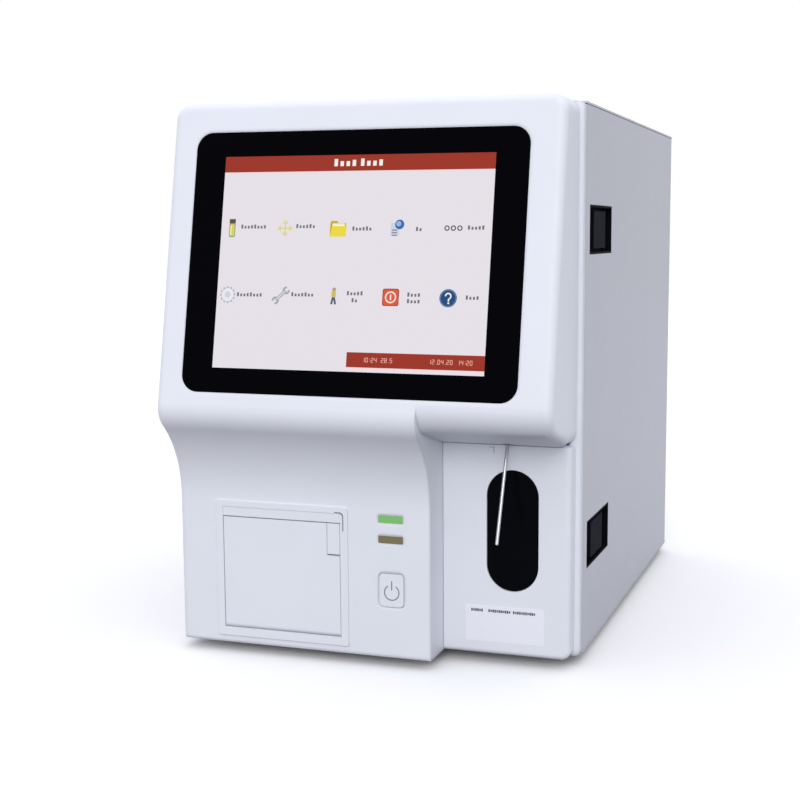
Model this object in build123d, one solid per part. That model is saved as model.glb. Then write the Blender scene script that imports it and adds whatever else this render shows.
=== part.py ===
from build123d import *
import os
from math import cos, radians, sin, tan

# Bench-top blood cell analyzer with a tilted touch screen, an open sampling bay with a leaning probe,
# a paper-strip printer and a hinged service door on its right side.
# Millimetres, +Z up, X to the right seen from the front, front towards -Y.
# Everything is laid out about the front face of the shell's flange (Y = 0 there, floor at Z = 0),
# and is moved back at the very end so that the origin is under the middle of the whole box.

# Case
CASE_WIDTH = 316.6
CASE_TOP = 419.8
CASE_DEPTH = 393.0
FOOT_HEIGHT = 8.0
FOOT_RADIUS = 12.0
FOOT_INSET = 30.0
FOOT_CHAMFER = 1.5
SHEET = 1.5
FACE_GAP = 0.5
RIM_GAP = 0.3
SEAT_FIT = 0.1
OVER = 1.0
HALF = CASE_WIDTH / 2
PAN_TOP = FOOT_HEIGHT + SHEET
LID_UNDER = CASE_TOP - SHEET
PAN_LIP = 12.0

# Front shell, a moulding with the tilted console over a printer block and an open bay
FLANGE_THICK = 4.0
FLANGE_CORNER = 5.0
FLANGE_RIM = 10.0
WALL = 3.0
CONSOLE_INSET = 4.7
CONSOLE_HALF = HALF - CONSOLE_INSET
CONSOLE_TOP = 422.5
CONSOLE_CORNER = 12.0
CONSOLE_LOW_CORNER = 11.0
CONSOLE_EDGE = 6.0
SCREEN_TILT = 10.85
SCREEN_REACH = 54.9
SCREEN_MID = 304.1
NOSE_TIP = 187.3
NOSE_ROUND = 20.0
TOP_ROUND = 6.0
COVE_ROUND = 78.0
BLOCK_REACH = 43.9
BLOCK_RIGHT = 54.4
UNDERSIDE_AT_PANEL = 169.5
BAY_REACH = 15.1
BAY_EDGE = 4.0
BAY_WALL = 2.5
BAY_CORNER = 7.0

# Screen
GLASS_WIDTH = 260.6
GLASS_HEIGHT = 195.6
GLASS_CORNER = 13.0
GLASS_THICK = 1.8
GLASS_X = -2.0
DISPLAY_WIDTH = 211.2
DISPLAY_HEIGHT = 158.4
DISPLAY_RIM = 7.0
DISPLAY_THICK = 8.0
DRIVE_WIDTH = 0.8
DRIVE_HEIGHT = 0.25

# Lamps and buttons on the printer block
LAMP_X = 23.0
LAMP_WIDTH = 19.4
LAMP_HEIGHT = 5.4
READY_LAMP_Z = 113.8
ALARM_LAMP_Z = 98.3
LAMP_FIT = 0.1
POWER_X = 23.3
POWER_Z = 59.7
POWER_WIDTH = 19.6
POWER_HEIGHT = 25.4
POWER_CORNER = 3.5
POWER_TRAVEL = 1.5
BUTTON_GAP = 0.35
KEY_PLAY = 0.2
LAMP_CORNER = 0.6
LAMP_PROUD = 0.2
BOARD_THICK = 1.6
BOARD_FRONT = -33.0
BOARD_HALF = 15.0
POST_X = (13.0, 33.0)
POST_Z = 85.0
POST_RADIUS = 2.5
BUTTON_FLANGE = 1.5

# Start plate behind the probe
PLATE_X = CONSOLE_HALF - 44.4
PLATE_Z = 104.4
PLATE_WIDTH = 39.6
PLATE_HEIGHT = 92.0
PLATE_RECESS = 1.0
PLATE_TRAVEL = 3.0
COLLAR_WALL = 1.5
COLLAR_DEEP = 8.0
START_POST = 27.0
START_BOARD = 2.0
SWITCH_BOARD_HALF = 8.0
SWITCH_HALF = 3.0

# Probe and its lift, along an axis that leans forward
PROBE_X = PLATE_X - 2.6
PROBE_LEAN = 22.0
PROBE_TIP_REACH = 47.8
PROBE_TIP_Z = 101.3
PROBE_RADIUS = 1.2
PROBE_BORE = 0.7
PROBE_BORE_DEEP = 8.0
PROBE_TIP_ROUND = 0.48
PROBE_TRAVEL = 60.0
RINSE_START = 84.0
RINSE_LONG = 16.0
RINSE_HALF = 9.0
RINSE_BORE = 1.5
BARB_RADIUS = 1.5
BARB_LONG = 6.0
BARB_IN = 4.0
CARRIAGE_START = 106.0
CARRIAGE_LONG = 18.0
CARRIAGE_HALF = 20.0
CARRIAGE_THICK = 12.0
CARRIAGE_NECK = 24.0
GUIDE_OFFSET = 14.0
GUIDE_RADIUS = 3.0
SCREW_RADIUS = 2.5
SCREW_BEHIND = 16.0
SCREW_LEAD = 10.0
LIFT_PLATE = 3.0
LIFT_ROOM = 2.0
RUNNING = 0.05
PROBE_HOLE = 4.0
EAR_LOW = RINSE_START + RINSE_LONG
EAR_TOP = CARRIAGE_START + CARRIAGE_LONG + PROBE_TRAVEL + LIFT_ROOM
EAR_FRONT = 9.0
NEEDLE_OVER = 4.0
SHAFT_IN = 6.0
SHAFT_ROOM = 0.5
MOTOR_HALF = 14.0
MOTOR_LONG = 26.0

# Printer
PRINTER_LEFT = -121.2
PRINTER_RIGHT = -11.2
PRINTER_LOW = 13.5
PRINTER_HIGH = 120.6
BEZEL_PROUD = 1.0
DOOR_LEFT = -114.8
DOOR_RIGHT = -17.8
DOOR_LOW = 20.4
DOOR_HIGH = 108.0
DOOR_THICK = 3.0
DOOR_GAP = 0.4
PAPER_SLOT = 0.6
STRIP_TOP = 115.8
LATCH_WIDTH = 10.2
LATCH_HEIGHT = 23.8
LATCH_PIN = 0.8
PAPER_WIDTH = 57.0
PAPER_ROLL = 50.0
TRAY_WALL = 2.0
ROLLER_RADIUS = 5.0
ROLLER_BACK = 9.6
ROLLER_Z = 98.0
ROLLER_PIN = 2.0
GEAR_TEETH = 16
GEAR_MODULE = 0.75
GEAR_WIDE = 3.0
TOOTH_BELOW = 1.2
TOOTH_BASE = 0.95
TOOTH_TOP = 0.4
HEAD_THICK = 4.0
HEAD_BELOW = 6.0
BEZEL_CORNER = 2.0
BEZEL_SIDE = 4.8
BEZEL_END = 3.8
TUBE_LEFT = PRINTER_LEFT + BEZEL_SIDE
TUBE_RIGHT = PRINTER_RIGHT - BEZEL_SIDE
TUBE_LOW = PRINTER_LOW + BEZEL_END
TUBE_HIGH = PRINTER_HIGH - BEZEL_END
TUBE_BACK = -BLOCK_REACH + 6.0
TEAR_BEVEL = 3.0
DOOR_FACE = -BLOCK_REACH - 0.7
HINGE_PIN = 1.2
HINGE_Y = DOOR_FACE + DOOR_THICK
HINGE_Z = DOOR_LOW + DOOR_THICK
LATCH_Y = DOOR_FACE + 1.4
LATCH_Z = DOOR_HIGH - 4.0
LATCH_PIN_LONG = 5.0
LATCH_THICK = 2.6
LATCH_HOOK = 3.4
LATCH_HOOK_IN = 2.0
NAIL_GAP = 1.0
PAPER_X = (DOOR_LEFT + DOOR_RIGHT) / 2
DOOR_EAR = 2.0
EAR_HALF = 5.0
EAR_X = (PAPER_X - PAPER_WIDTH / 2 - 4, PAPER_X + PAPER_WIDTH / 2 + 2)
ROLLER_Y = -BLOCK_REACH + ROLLER_BACK
TRAY_SLACK = 2.0
TRAY_LOW = 24.0
TRAY_MOUTH = 48.0

# Service door on the right side
DOOR_BARREL = 3.5
DOOR_PIN = 1.5
PIN_LONG = 12.0
DOOR_RETURN = 10.0
DOOR_START = FLANGE_THICK + 0.8
PULL_FRONT = 18.8
PULL_LENGTH = 79.5
PULL_HEIGHT = 36.5
PULL_CENTRES = {"lower": 89.5, "upper": 327.9}
PULL_DEPTH = 9.0
PULL_WALL = 1.5
PADDLE_FRONT = 36.8
PADDLE_LENGTH = 42.8
PADDLE_HEIGHT = 28.0
PADDLE_THICK = 2.5
PADDLE_PIN = 1.0
PADDLE_X = HALF - 2.2
PADDLE_Y = PADDLE_FRONT + PADDLE_LENGTH - PADDLE_THICK / 2
DOOR_BOTTOM = PAN_TOP + FACE_GAP
DOOR_TOP = LID_UNDER - FACE_GAP

# Rear panel
FAN_X = 68.3 - HALF
FAN_Z = 300.0
FAN_SIZE = 80.0
FAN_DEEP = 25.0
FAN_HUB = 17.0
FAN_BLADES = 7
FAN_TIP_GAP = 1.2
FAN_CORNER = 4.0
FAN_ARM = 4.0
FAN_BLADE = 1.5
INLET_X = 63.3 - HALF
INLET_Z = 62.0
INLET_WIDTH = 27.0
INLET_HEIGHT = 20.0
INLET_DEEP = 22.0
INLET_CORNER = 3.0
INLET_CUP_CORNER = 2.0
INLET_WALL = 2.0
INLET_RIM = 3.0
INLET_CUP = 16.0
INLET_PINS = ((-7.0, -2.0), (7.0, -2.0), (0.0, 3.0))
INLET_PIN_WIDE = 2.0
INLET_PIN_HIGH = 4.0
INLET_PIN_IN = 3.0
SWITCH_X = INLET_X + 40.0
SWITCH_WIDTH = 13.0
SWITCH_HEIGHT = 19.0
SWITCH_DEEP = 14.0
SWITCH_CUP = 9.0
SWITCH_CORNER = 1.0
SWITCH_RIM = 2.0
SWITCH_WALL = 1.0
SWITCH_ROCK = 12.0
FITTINGS = 4
FITTING_FIRST = 42.0
FITTING_STEP = 22.0
FITTING_Z = 70.0
FITTING_RADIUS = 2.5
FITTING_LONG = 12.0
FITTING_COLLAR = 7.0
COLLAR_THICK = 4.0
PORT_Z = 200.0
PORT_DEEP = 12.0
PORT_WALL = 0.7
PORT_FLOOR = 2.0
PORT_TONGUE = 2.5
PORT_BOARD = 50.0
PORT_BOARD_OVER = 20.0
PORT_BOARD_UNDER = 80.0
STUD_X = -20.0
STUD_Z = 62.0
STUD_RADIUS = 2.5
STUD_IN = 6.0
STUD_OUT = 12.0
STUD_NUT = 3.0
FITTING_THREAD = 4.0
GRILLE_STEP = 8.0
GRILLE_SLOT = 4.5
GRILLE_RIM = 3.0
FAN_WALL = 2.5
FAN_SHAFT = 3.0
FAN_PITCH = 38.0
RIM_THICK = 2.0
PORT_PROUD = 0.5
ROCKER_HALF = 4.8
ROCKER_PIN = 1.2
ROCKER_Y = CASE_DEPTH - 1.5
ROCKER_FACE = 3.0
ROCKER_TAIL = 4.0
ROCKER_TAIL_HALF = 3.0
ROCKER_END_GAP = 2.0
ROCKER_PIN_IN = 0.8
ROCKER_PIN_HOLE = 0.6

# Inside
WET_WIDTH = 138.3
MID_X = HALF - WET_WIDTH
WET_LEFT = MID_X + SHEET
PORT_X = MID_X - 40.0
FITTING_X = [MID_X + FITTING_FIRST + FITTING_STEP * number for number in range(FITTINGS)]
BATH_RADIUS = 14.0
BATH_WALL = 2.0
BATH_HEIGHT = 42.0
BATH_TOP = 260.0
BATH_Y = {"white": 110.0, "red": 160.0}
BATH_X = MID_X + 64.0
BATH_DRAIN = 2.5
BATH_BORE = 1.0
BATH_END = 1.0
BATH_DRAIN_LONG = 10.0
BATH_SLOPE = 8.0
BATH_FLANGE = 3.0
SHELF_SIDE = 22.0
SHELF_FRONT = 8.0
SHELF_FOLD = 20.0
SYRINGE_X = MID_X + 50.0
SYRINGE_BACK = 225.0
FIRST_VALVE = 60.0
VALVES = 5
VALVE_STEP = 26.0
VALVE_Z = 70.0
VALVE_END = 14.0
MANIFOLD = 12.0
MANIFOLD_HALF = 12.0
COIL_LONG = 26.0
COIL_HALF = 9.0
COIL_HALF_HIGH = 10.0
VALVE_NOSE = 5.0
VALVE_NOSE_LONG = 8.0
SILL_X = HALF - 15.3
RETURN = 12.0
FOLD = 2.0
WALL_START = 8.0
VENT_ROWS = 6
VENT_COLUMNS = 3
VENT_Y = 110.0
VENT_Z = 60.0
VENT_STEP_Y = 70.0
VENT_STEP_Z = 10.0
VENT_LONG = 56.0
VENT_HIGH = 4.0
REAR_RIGHT = HALF - 8.3
SCREW_IN = 6.0
SCREW_HEAD = 3.0
SCREW_HEAD_HIGH = 2.0
SCREW_SHANK = 1.5
BATH_COLLAR = 240.0
SYRINGE_FOOT = 100.0
SYRINGE_HEAD = 270.0
SYRINGE_GUIDE_X = MID_X + 26.0
SYRINGE_GUIDE_Y = SYRINGE_BACK
SYRINGE_STEP = 28.0
SYRINGE_SCREW_Y = SYRINGE_BACK + SYRINGE_STEP
SYRINGES = ((SYRINGE_BACK, 8.0), (SYRINGE_BACK + SYRINGE_STEP, 5.0))
SYRINGE_PLATE = 4.0
SYRINGE_SIDE = 22.0
SYRINGE_REACH = 14.0
SYRINGE_BLOCK = 14.0
SYRINGE_SEAT = 6.0
PLUNGER_ROOM = 4.0
PLUNGER_LONG = 8.0
BARREL_END = 2.0
BARREL_LONG = 66.0
BARREL_WALL = 1.5
SYRINGE_TRAVEL = 40.0
BAR_ROOM = 10.0
BAR_Z = SYRINGE_FOOT + SYRINGE_TRAVEL + BAR_ROOM
BAR_HIGH = 8.0
BAR_LEFT = 8.0
BAR_RIGHT = 10.0
BAR_SIDE = 14.0
ROD_SHARE = 0.6
PUMP_Y = 330.0
PUMP_Z = 150.0
PUMP_OUTER = 24.0
PUMP_INNER = 20.0
PUMP_MOTOR = 17.0
PUMP_MOTOR_LONG = 34.0
PUMP_HEAD_LONG = 22.0
PUMP_WALL = 3.0
PUMP_SHAFT_LONG = 13.0
PUMP_ROTOR_LONG = 17.0
PUMP_HUB = 8.0
PUMP_DISC = 13.0
PUMP_DISC_THICK = 2.0
PUMP_ROLLERS = 3
PUMP_ROLLER = 4.5
PUMP_ROLLER_OUT = 12.0
CHAMBER_X = MID_X + 80.0
CHAMBER_Y = 330.0
CHAMBER_RADIUS = 26.0
CHAMBER_HIGH = 90.0
CHAMBER_LID = 28.0
CHAMBER_LID_HIGH = 8.0
CHAMBER_PORT = 2.5
CHAMBER_PORT_LONG = 12.0
CHAMBER_PORT_OUT = 10.0
BOARD_Y = (70.0, 250.0)
BOARD_Z = (130.0, 290.0)
SPACER = 6.0
SPACER_IN = 8.0
SPACER_RADIUS = 3.0
CHIPS = ((40.0, 120.0, 26.0, 3.0), (80.0, 120.0, 18.0, 2.5), (120.0, 80.0, 30.0, 9.0),
         (50.0, 50.0, 22.0, 3.0))
PLUGS = 4
PLUG_STEP = 42.0
PLUG_START = 20.0
PLUG_LONG = 28.0
PLUG_HIGH = 9.0
PLUG_LOW = 4.0
PLUG_WIDE = 8.0
SUPPLY_LEFT = 20.3
SUPPLY_WIDTH = 104.0
SUPPLY_Y = 240.0
SUPPLY_DEEP = 122.0
SUPPLY_HIGH = 40.0
TERMINALS_IN = 8.0
TERMINALS_WIDTH = 70.0
TERMINALS_DEEP = 8.0
TERMINALS_LOW = 4.0
TERMINALS_HIGH = 12.0

# Places on the tilted screen and along the leaning probe
TILT = tan(radians(SCREEN_TILT))
NOSE_REACH = SCREEN_REACH + (SCREEN_MID - NOSE_TIP) * TILT
LEAN_SIN = sin(radians(PROBE_LEAN))
LEAN_COS = cos(radians(PROBE_LEAN))

# The furthest reach of the round nose and of the hose connectors set the box, and so the last move
SLOPE = 45.0
NOSE_TANGENT = NOSE_ROUND * tan(radians(SLOPE + SCREEN_TILT) / 2)
NOSE_CENTRE = NOSE_REACH - NOSE_TANGENT * sin(radians(SCREEN_TILT)) - NOSE_ROUND * cos(radians(SCREEN_TILT))
FRONT_REACH = NOSE_CENTRE + NOSE_ROUND
REAR_REACH = CASE_DEPTH + COLLAR_THICK + FITTING_LONG
MOVED_BACK = (FRONT_REACH - REAR_REACH) / 2


def screen_y(z):
    """Y of the tilted screen face at height z."""
    return -SCREEN_REACH + (z - SCREEN_MID) * TILT


def probe_point(along, behind=0.0):
    """Y and Z of a place measured up the probe from its tip, and square behind its axis."""
    y = -PROBE_TIP_REACH + along * LEAN_SIN + behind * LEAN_COS
    z = PROBE_TIP_Z + along * LEAN_COS - behind * LEAN_SIN
    return y, z


SCREEN = Plane(
    origin=(GLASS_X, -SCREEN_REACH, SCREEN_MID),
    x_dir=(1, 0, 0),
    z_dir=(0, -cos(radians(SCREEN_TILT)), sin(radians(SCREEN_TILT))),
)
LIFT = Plane(
    origin=(PROBE_X, -PROBE_TIP_REACH, PROBE_TIP_Z),
    x_dir=(1, 0, 0),
    z_dir=(0, LEAN_SIN, LEAN_COS),
)


# Basic shapes

def block(x0, x1, y0, y1, z0, z1):
    """A box between two corners."""
    return Pos((x0 + x1) / 2, (y0 + y1) / 2, (z0 + z1) / 2) * Box(x1 - x0, y1 - y0, z1 - z0)


def rod_x(y, z, radius, x0, x1):
    return Pos((x0 + x1) / 2, y, z) * Rot(0, 90, 0) * Cylinder(radius, x1 - x0)


def rod_y(x, z, radius, y0, y1):
    return Pos(x, (y0 + y1) / 2, z) * Rot(90, 0, 0) * Cylinder(radius, y1 - y0)


def rod_z(x, y, radius, z0, z1):
    return Pos(x, y, (z0 + z1) / 2) * Cylinder(radius, z1 - z0)


def front_plate(sketch, y0, y1):
    """Carries a sketch drawn in X and Z from y0 back to y1."""
    return Pos(0, y1, 0) * extrude(Plane.XZ * sketch, y1 - y0)


def side_plate(sketch, x0, x1):
    """Carries a sketch drawn in Y and Z from x0 to x1."""
    return Pos(x0, 0, 0) * extrude(Plane.YZ * sketch, x1 - x0)


def lift_rod(x, behind, radius, start, end):
    """A round bar along the probe's axis, off to the side by x and behind it."""
    return LIFT * Pos(x, behind, (start + end) / 2) * Cylinder(radius, end - start)


def lift_block(x0, x1, behind0, behind1, start, end):
    """A box in the probe's leaning frame."""
    return LIFT * block(x0, x1, behind0, behind1, start, end)


def rounded(x, z, width, height, corner):
    return Pos(x, z) * RectangleRounded(width, height, corner)


def stadium(x, z, width, height):
    return Pos(x, z) * Rot(0, 0, 90) * SlotOverall(height, width)


def as_part(shape):
    """One plain compound of the solids, so that a file holds nothing else."""
    return Compound(children=list(shape.solids())) if len(shape.solids()) > 1 else shape.solid()


# Front shell

def near(sketch, y, z):
    return sketch.vertices().sort_by_distance(Vector(y, z, 0))[0]


def console_outline(over_bay, inset):
    """Side view of the console: flat back, tilted screen, round nose, and a cove or the bay's ceiling."""
    back = FLANGE_THICK
    cove_top = NOSE_TIP - (NOSE_REACH - BLOCK_REACH) * tan(radians(SLOPE))
    points = [(back, CONSOLE_TOP), (screen_y(CONSOLE_TOP), CONSOLE_TOP), (-NOSE_REACH, NOSE_TIP)]
    if over_bay:
        points += [(-BAY_REACH, UNDERSIDE_AT_PANEL), (back, UNDERSIDE_AT_PANEL)]
    else:
        points += [(-BLOCK_REACH, cove_top), (-BLOCK_REACH, FOOT_HEIGHT), (back, FOOT_HEIGHT)]
    face = make_face(Polyline(*points, close=True))
    if inset:
        face = offset(face, -inset, kind=Kind.INTERSECTION)
    face = fillet(near(face, -NOSE_REACH, NOSE_TIP), NOSE_ROUND - inset)
    if not inset:
        face = fillet(near(face, screen_y(CONSOLE_TOP), CONSOLE_TOP), TOP_ROUND)
    if not over_bay:
        face = fillet(near(face, -BLOCK_REACH, cove_top), COVE_ROUND + inset)
    return face


def rounded_in_front(x0, x1, z0, low_corner, inset):
    """A prism seen from the front as a rectangle with round top corners, as long as the console is deep."""
    top = CONSOLE_TOP - inset
    face = Pos((x0 + x1) / 2, (z0 + top) / 2) * Rectangle(x1 - x0, top - z0)
    outer = max(x0, x1, key=abs)
    face = fillet(near(face, outer, top), CONSOLE_CORNER - inset)
    if low_corner:
        face = fillet(near(face, outer, z0), low_corner - inset)
    return front_plate(face, -NOSE_REACH, FLANGE_THICK)


def screen_edge(half, x):
    """The long edge between the tilted face and an outer side; its round runs on round the nose."""
    side = [e for e in half.edges() if abs(e.center().X - x) < 0.01 and e.center().Y < -BAY_REACH]
    return max(side, key=lambda e: e.length)


def console_solid(inset):
    """The part over the printer block and the part over the bay, each rounded along its outer side."""
    half = CONSOLE_HALF - inset
    wide = side_plate(console_outline(False, inset), -half, BLOCK_RIGHT - inset)
    over = side_plate(console_outline(True, inset), 0, half)
    wide &= rounded_in_front(-half, BLOCK_RIGHT, FOOT_HEIGHT, 0, inset)
    over &= rounded_in_front(0, half, UNDERSIDE_AT_PANEL + inset, CONSOLE_LOW_CORNER, inset)
    if not inset:
        wide = fillet(screen_edge(wide, -half), CONSOLE_EDGE)
        over = fillet(screen_edge(over, half), CONSOLE_EDGE)
    return wide + over


def window_cuts():
    """Everything that passes through the front of the shell."""
    slack = 2 * LAMP_FIT
    front, back = -BLOCK_REACH - OVER, -BLOCK_REACH + WALL + OVER
    pocket = RectangleRounded(GLASS_WIDTH + slack, GLASS_HEIGHT + slack, GLASS_CORNER)
    cuts = [SCREEN * Pos(0, 0, -GLASS_THICK) * extrude(pocket, 2 * GLASS_THICK)]
    cuts.append(SCREEN * Box(DISPLAY_WIDTH + 2 * DISPLAY_RIM, DISPLAY_HEIGHT + 2 * DISPLAY_RIM, 4 * WALL))
    for z in (READY_LAMP_Z, ALARM_LAMP_Z):
        hole = rounded(LAMP_X, z, LAMP_WIDTH + slack, LAMP_HEIGHT + slack, LAMP_CORNER)
        cuts.append(front_plate(hole, front, back))
    wide, high = POWER_WIDTH + 2 * BUTTON_GAP, POWER_HEIGHT + 2 * BUTTON_GAP
    cuts.append(front_plate(rounded(POWER_X, POWER_Z, wide, high, POWER_CORNER + BUTTON_GAP), front, back))
    left, right = TUBE_LEFT - RIM_GAP, TUBE_RIGHT + RIM_GAP
    cuts.append(block(left, right, front, back, TUBE_LOW - RIM_GAP, TUBE_HIGH + RIM_GAP))
    cuts.append(lift_rod(0, 0, PROBE_HOLE, RINSE_START / 2, RINSE_START + PROBE_HOLE))
    return cuts


def front_shell():
    plate = rounded(0, (CASE_TOP + FOOT_HEIGHT) / 2, CASE_WIDTH, CASE_TOP - FOOT_HEIGHT, FLANGE_CORNER)
    hollow = console_solid(WALL) - block(-HALF, HALF, 0, FLANGE_THICK + OVER, 0, CONSOLE_TOP + OVER)
    shell = console_solid(0) + front_plate(plate, 0, FLANGE_THICK) - hollow
    inside = HALF - FLANGE_RIM
    low, high = FOOT_HEIGHT + FLANGE_RIM, CASE_TOP - FLANGE_RIM
    shell -= block(-inside, inside, -OVER, FLANGE_THICK + OVER, low, high)
    for cut in window_cuts():
        shell -= cut
    for x in POST_X:
        shell += rod_y(x, POST_Z, POST_RADIUS, -BLOCK_REACH + WALL, BOARD_FRONT)
    return shell


def bay_panel():
    """The flat moulding behind the probe, with the collar that the start plate slides in."""
    left, right = BLOCK_RIGHT + RIM_GAP, CONSOLE_HALF
    low, high = FOOT_HEIGHT, UNDERSIDE_AT_PANEL - RIM_GAP
    face = Pos((left + right) / 2, (low + high) / 2) * Rectangle(right - left, high - low)
    face = fillet(near(face, right, low), BAY_CORNER)
    panel = front_plate(face, -BAY_REACH, 0)
    rim = [e for e in panel.edges() if abs(e.center().Y + BAY_REACH) < 0.01 and (
        e.center().X > right - BAY_CORNER or e.center().Z < low + 0.01)]
    panel = fillet(rim, BAY_EDGE)
    inner = -BAY_REACH + BAY_WALL
    panel -= block(left + BAY_WALL, right - BAY_WALL, inner, OVER, low + BAY_WALL, high - BAY_WALL)
    collar = stadium(PLATE_X, PLATE_Z, PLATE_WIDTH + 2 * (BUTTON_GAP + COLLAR_WALL),
                     PLATE_HEIGHT + 2 * (BUTTON_GAP + COLLAR_WALL))
    panel += front_plate(collar, inner, -BAY_REACH + COLLAR_DEEP)
    mouth = stadium(PLATE_X, PLATE_Z, PLATE_WIDTH + 2 * BUTTON_GAP, PLATE_HEIGHT + 2 * BUTTON_GAP)
    panel -= front_plate(mouth, -BAY_REACH - OVER, 0)
    for side in (-1, 1):
        panel += rod_y(PLATE_X + side * START_POST, PLATE_Z, POST_RADIUS, inner, START_BOARD)
    return panel


def start_plate():
    """The tall black key, held from behind by its own flange."""
    front = -BAY_REACH + PLATE_RECESS
    flange = -BAY_REACH + COLLAR_DEEP + KEY_PLAY
    plate = front_plate(stadium(PLATE_X, PLATE_Z, PLATE_WIDTH, PLATE_HEIGHT), front, flange + BUTTON_FLANGE)
    reach = 2 * (BUTTON_GAP + COLLAR_WALL)
    return plate + front_plate(stadium(PLATE_X, PLATE_Z, PLATE_WIDTH + reach, PLATE_HEIGHT + reach),
                               flange, flange + BUTTON_FLANGE)


def switch(x, z, front, back):
    """The small square switch under a key."""
    return block(x - SWITCH_HALF, x + SWITCH_HALF, front, back, z - SWITCH_HALF, z + SWITCH_HALF)


def start_switch():
    """A small board on the two posts, with the switch that the start plate presses."""
    stop = -BAY_REACH + COLLAR_DEEP + KEY_PLAY + BUTTON_FLANGE + PLATE_TRAVEL + KEY_PLAY
    half = START_POST + POST_RADIUS
    board = block(PLATE_X - half, PLATE_X + half, START_BOARD, START_BOARD + BOARD_THICK,
                  PLATE_Z - SWITCH_BOARD_HALF, PLATE_Z + SWITCH_BOARD_HALF)
    return board + switch(PLATE_X, PLATE_Z, stop, START_BOARD)


# Screen, lamps and power button

def screen_glass():
    return SCREEN * Pos(0, 0, -GLASS_THICK) * extrude(
        RectangleRounded(GLASS_WIDTH, GLASS_HEIGHT, GLASS_CORNER), GLASS_THICK)


def display_module():
    """The panel behind the glass: a shallow metal can with its lit face against the glass."""
    width, height = DISPLAY_WIDTH + DISPLAY_RIM, DISPLAY_HEIGHT + DISPLAY_RIM
    can = SCREEN * Pos(0, 0, -GLASS_THICK - DISPLAY_THICK / 2) * Box(width, height, DISPLAY_THICK)
    board = Box(width * DRIVE_WIDTH, height * DRIVE_HEIGHT, BOARD_THICK)
    back = -GLASS_THICK - DISPLAY_THICK - BOARD_THICK / 2
    return can + SCREEN * Pos(0, -height * DRIVE_HEIGHT, back) * board


def lamp(z):
    face = rounded(LAMP_X, z, LAMP_WIDTH, LAMP_HEIGHT, LAMP_CORNER)
    return front_plate(face, -BLOCK_REACH - LAMP_PROUD, BOARD_FRONT)


def power_button():
    back = -BLOCK_REACH + WALL + KEY_PLAY
    cap = rounded(POWER_X, POWER_Z, POWER_WIDTH, POWER_HEIGHT, POWER_CORNER)
    more = 2 * (BUTTON_GAP + BUTTON_FLANGE)
    flange = rounded(POWER_X, POWER_Z, POWER_WIDTH + more, POWER_HEIGHT + more, POWER_CORNER)
    button = front_plate(cap, -BLOCK_REACH - LAMP_PROUD, back + BUTTON_FLANGE)
    return button + front_plate(flange, back, back + BUTTON_FLANGE)


def button_board():
    """The board behind the lamps and the power button, with the switch that the button presses."""
    stop = -BLOCK_REACH + WALL + KEY_PLAY + BUTTON_FLANGE + POWER_TRAVEL + KEY_PLAY
    board = block(LAMP_X - BOARD_HALF, LAMP_X + BOARD_HALF, BOARD_FRONT, BOARD_FRONT + BOARD_THICK,
                  POWER_Z - BOARD_HALF, READY_LAMP_Z + LAMP_HEIGHT)
    return board + switch(POWER_X, POWER_Z, stop, BOARD_FRONT)


# Probe and its lift

def probe_needle():
    needle = lift_rod(0, 0, PROBE_RADIUS, 0, CARRIAGE_START + CARRIAGE_LONG + NEEDLE_OVER)
    tip = min(needle.edges(), key=lambda e: e.center().Z)
    needle = fillet(tip, PROBE_TIP_ROUND)
    return needle - lift_rod(0, 0, PROBE_BORE, -OVER, PROBE_BORE_DEEP)


def probe_carriage():
    """Slides on the two guide bars, holds the needle, and carries the nut of the lift screw."""
    start, end = CARRIAGE_START - OVER, CARRIAGE_START + CARRIAGE_LONG + OVER
    half, neck = CARRIAGE_THICK / 2, CARRIAGE_NECK / 2
    body = lift_block(-CARRIAGE_HALF, CARRIAGE_HALF, -half, half, start + OVER, end - OVER)
    body += lift_block(-neck, neck, half, SCREW_BEHIND + half, start + OVER, end - OVER)
    for x in (-GUIDE_OFFSET, GUIDE_OFFSET):
        body -= lift_rod(x, 0, GUIDE_RADIUS + RUNNING, start, end)
    body -= lift_rod(0, SCREW_BEHIND, SCREW_RADIUS + RUNNING, start, end)
    return body - lift_rod(0, 0, PROBE_RADIUS, start, end)


def lift_frame():
    """Back plate and two ears, folded from one sheet and fixed to the middle wall by its long side."""
    ear = CARRIAGE_HALF + LIFT_ROOM
    back = SCREW_BEHIND + CARRIAGE_THICK / 2 + RUNNING + LIFT_ROOM
    side = WET_LEFT - PROBE_X
    body = lift_block(side, ear, back, back + LIFT_PLATE, EAR_LOW, EAR_TOP + LIFT_PLATE)
    for start in (EAR_LOW, EAR_TOP):
        end = start + LIFT_PLATE
        body += lift_block(-ear, ear, -EAR_FRONT, back, start, end)
        for x in (-GUIDE_OFFSET, GUIDE_OFFSET):
            body -= lift_rod(x, 0, GUIDE_RADIUS, start - OVER, end + OVER)
        body -= lift_rod(0, 0, PROBE_HOLE, start - OVER, end + OVER)
        body -= lift_rod(0, SCREW_BEHIND, SCREW_RADIUS + RUNNING, start - OVER, end + OVER)
    return body


def guide_bars():
    top = EAR_TOP + LIFT_PLATE
    return Part() + [lift_rod(x, 0, GUIDE_RADIUS, EAR_LOW, top) for x in (-GUIDE_OFFSET, GUIDE_OFFSET)]


def lift_screw():
    return lift_rod(0, SCREW_BEHIND, SCREW_RADIUS, EAR_LOW, EAR_TOP + LIFT_PLATE + SHAFT_IN)


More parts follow.
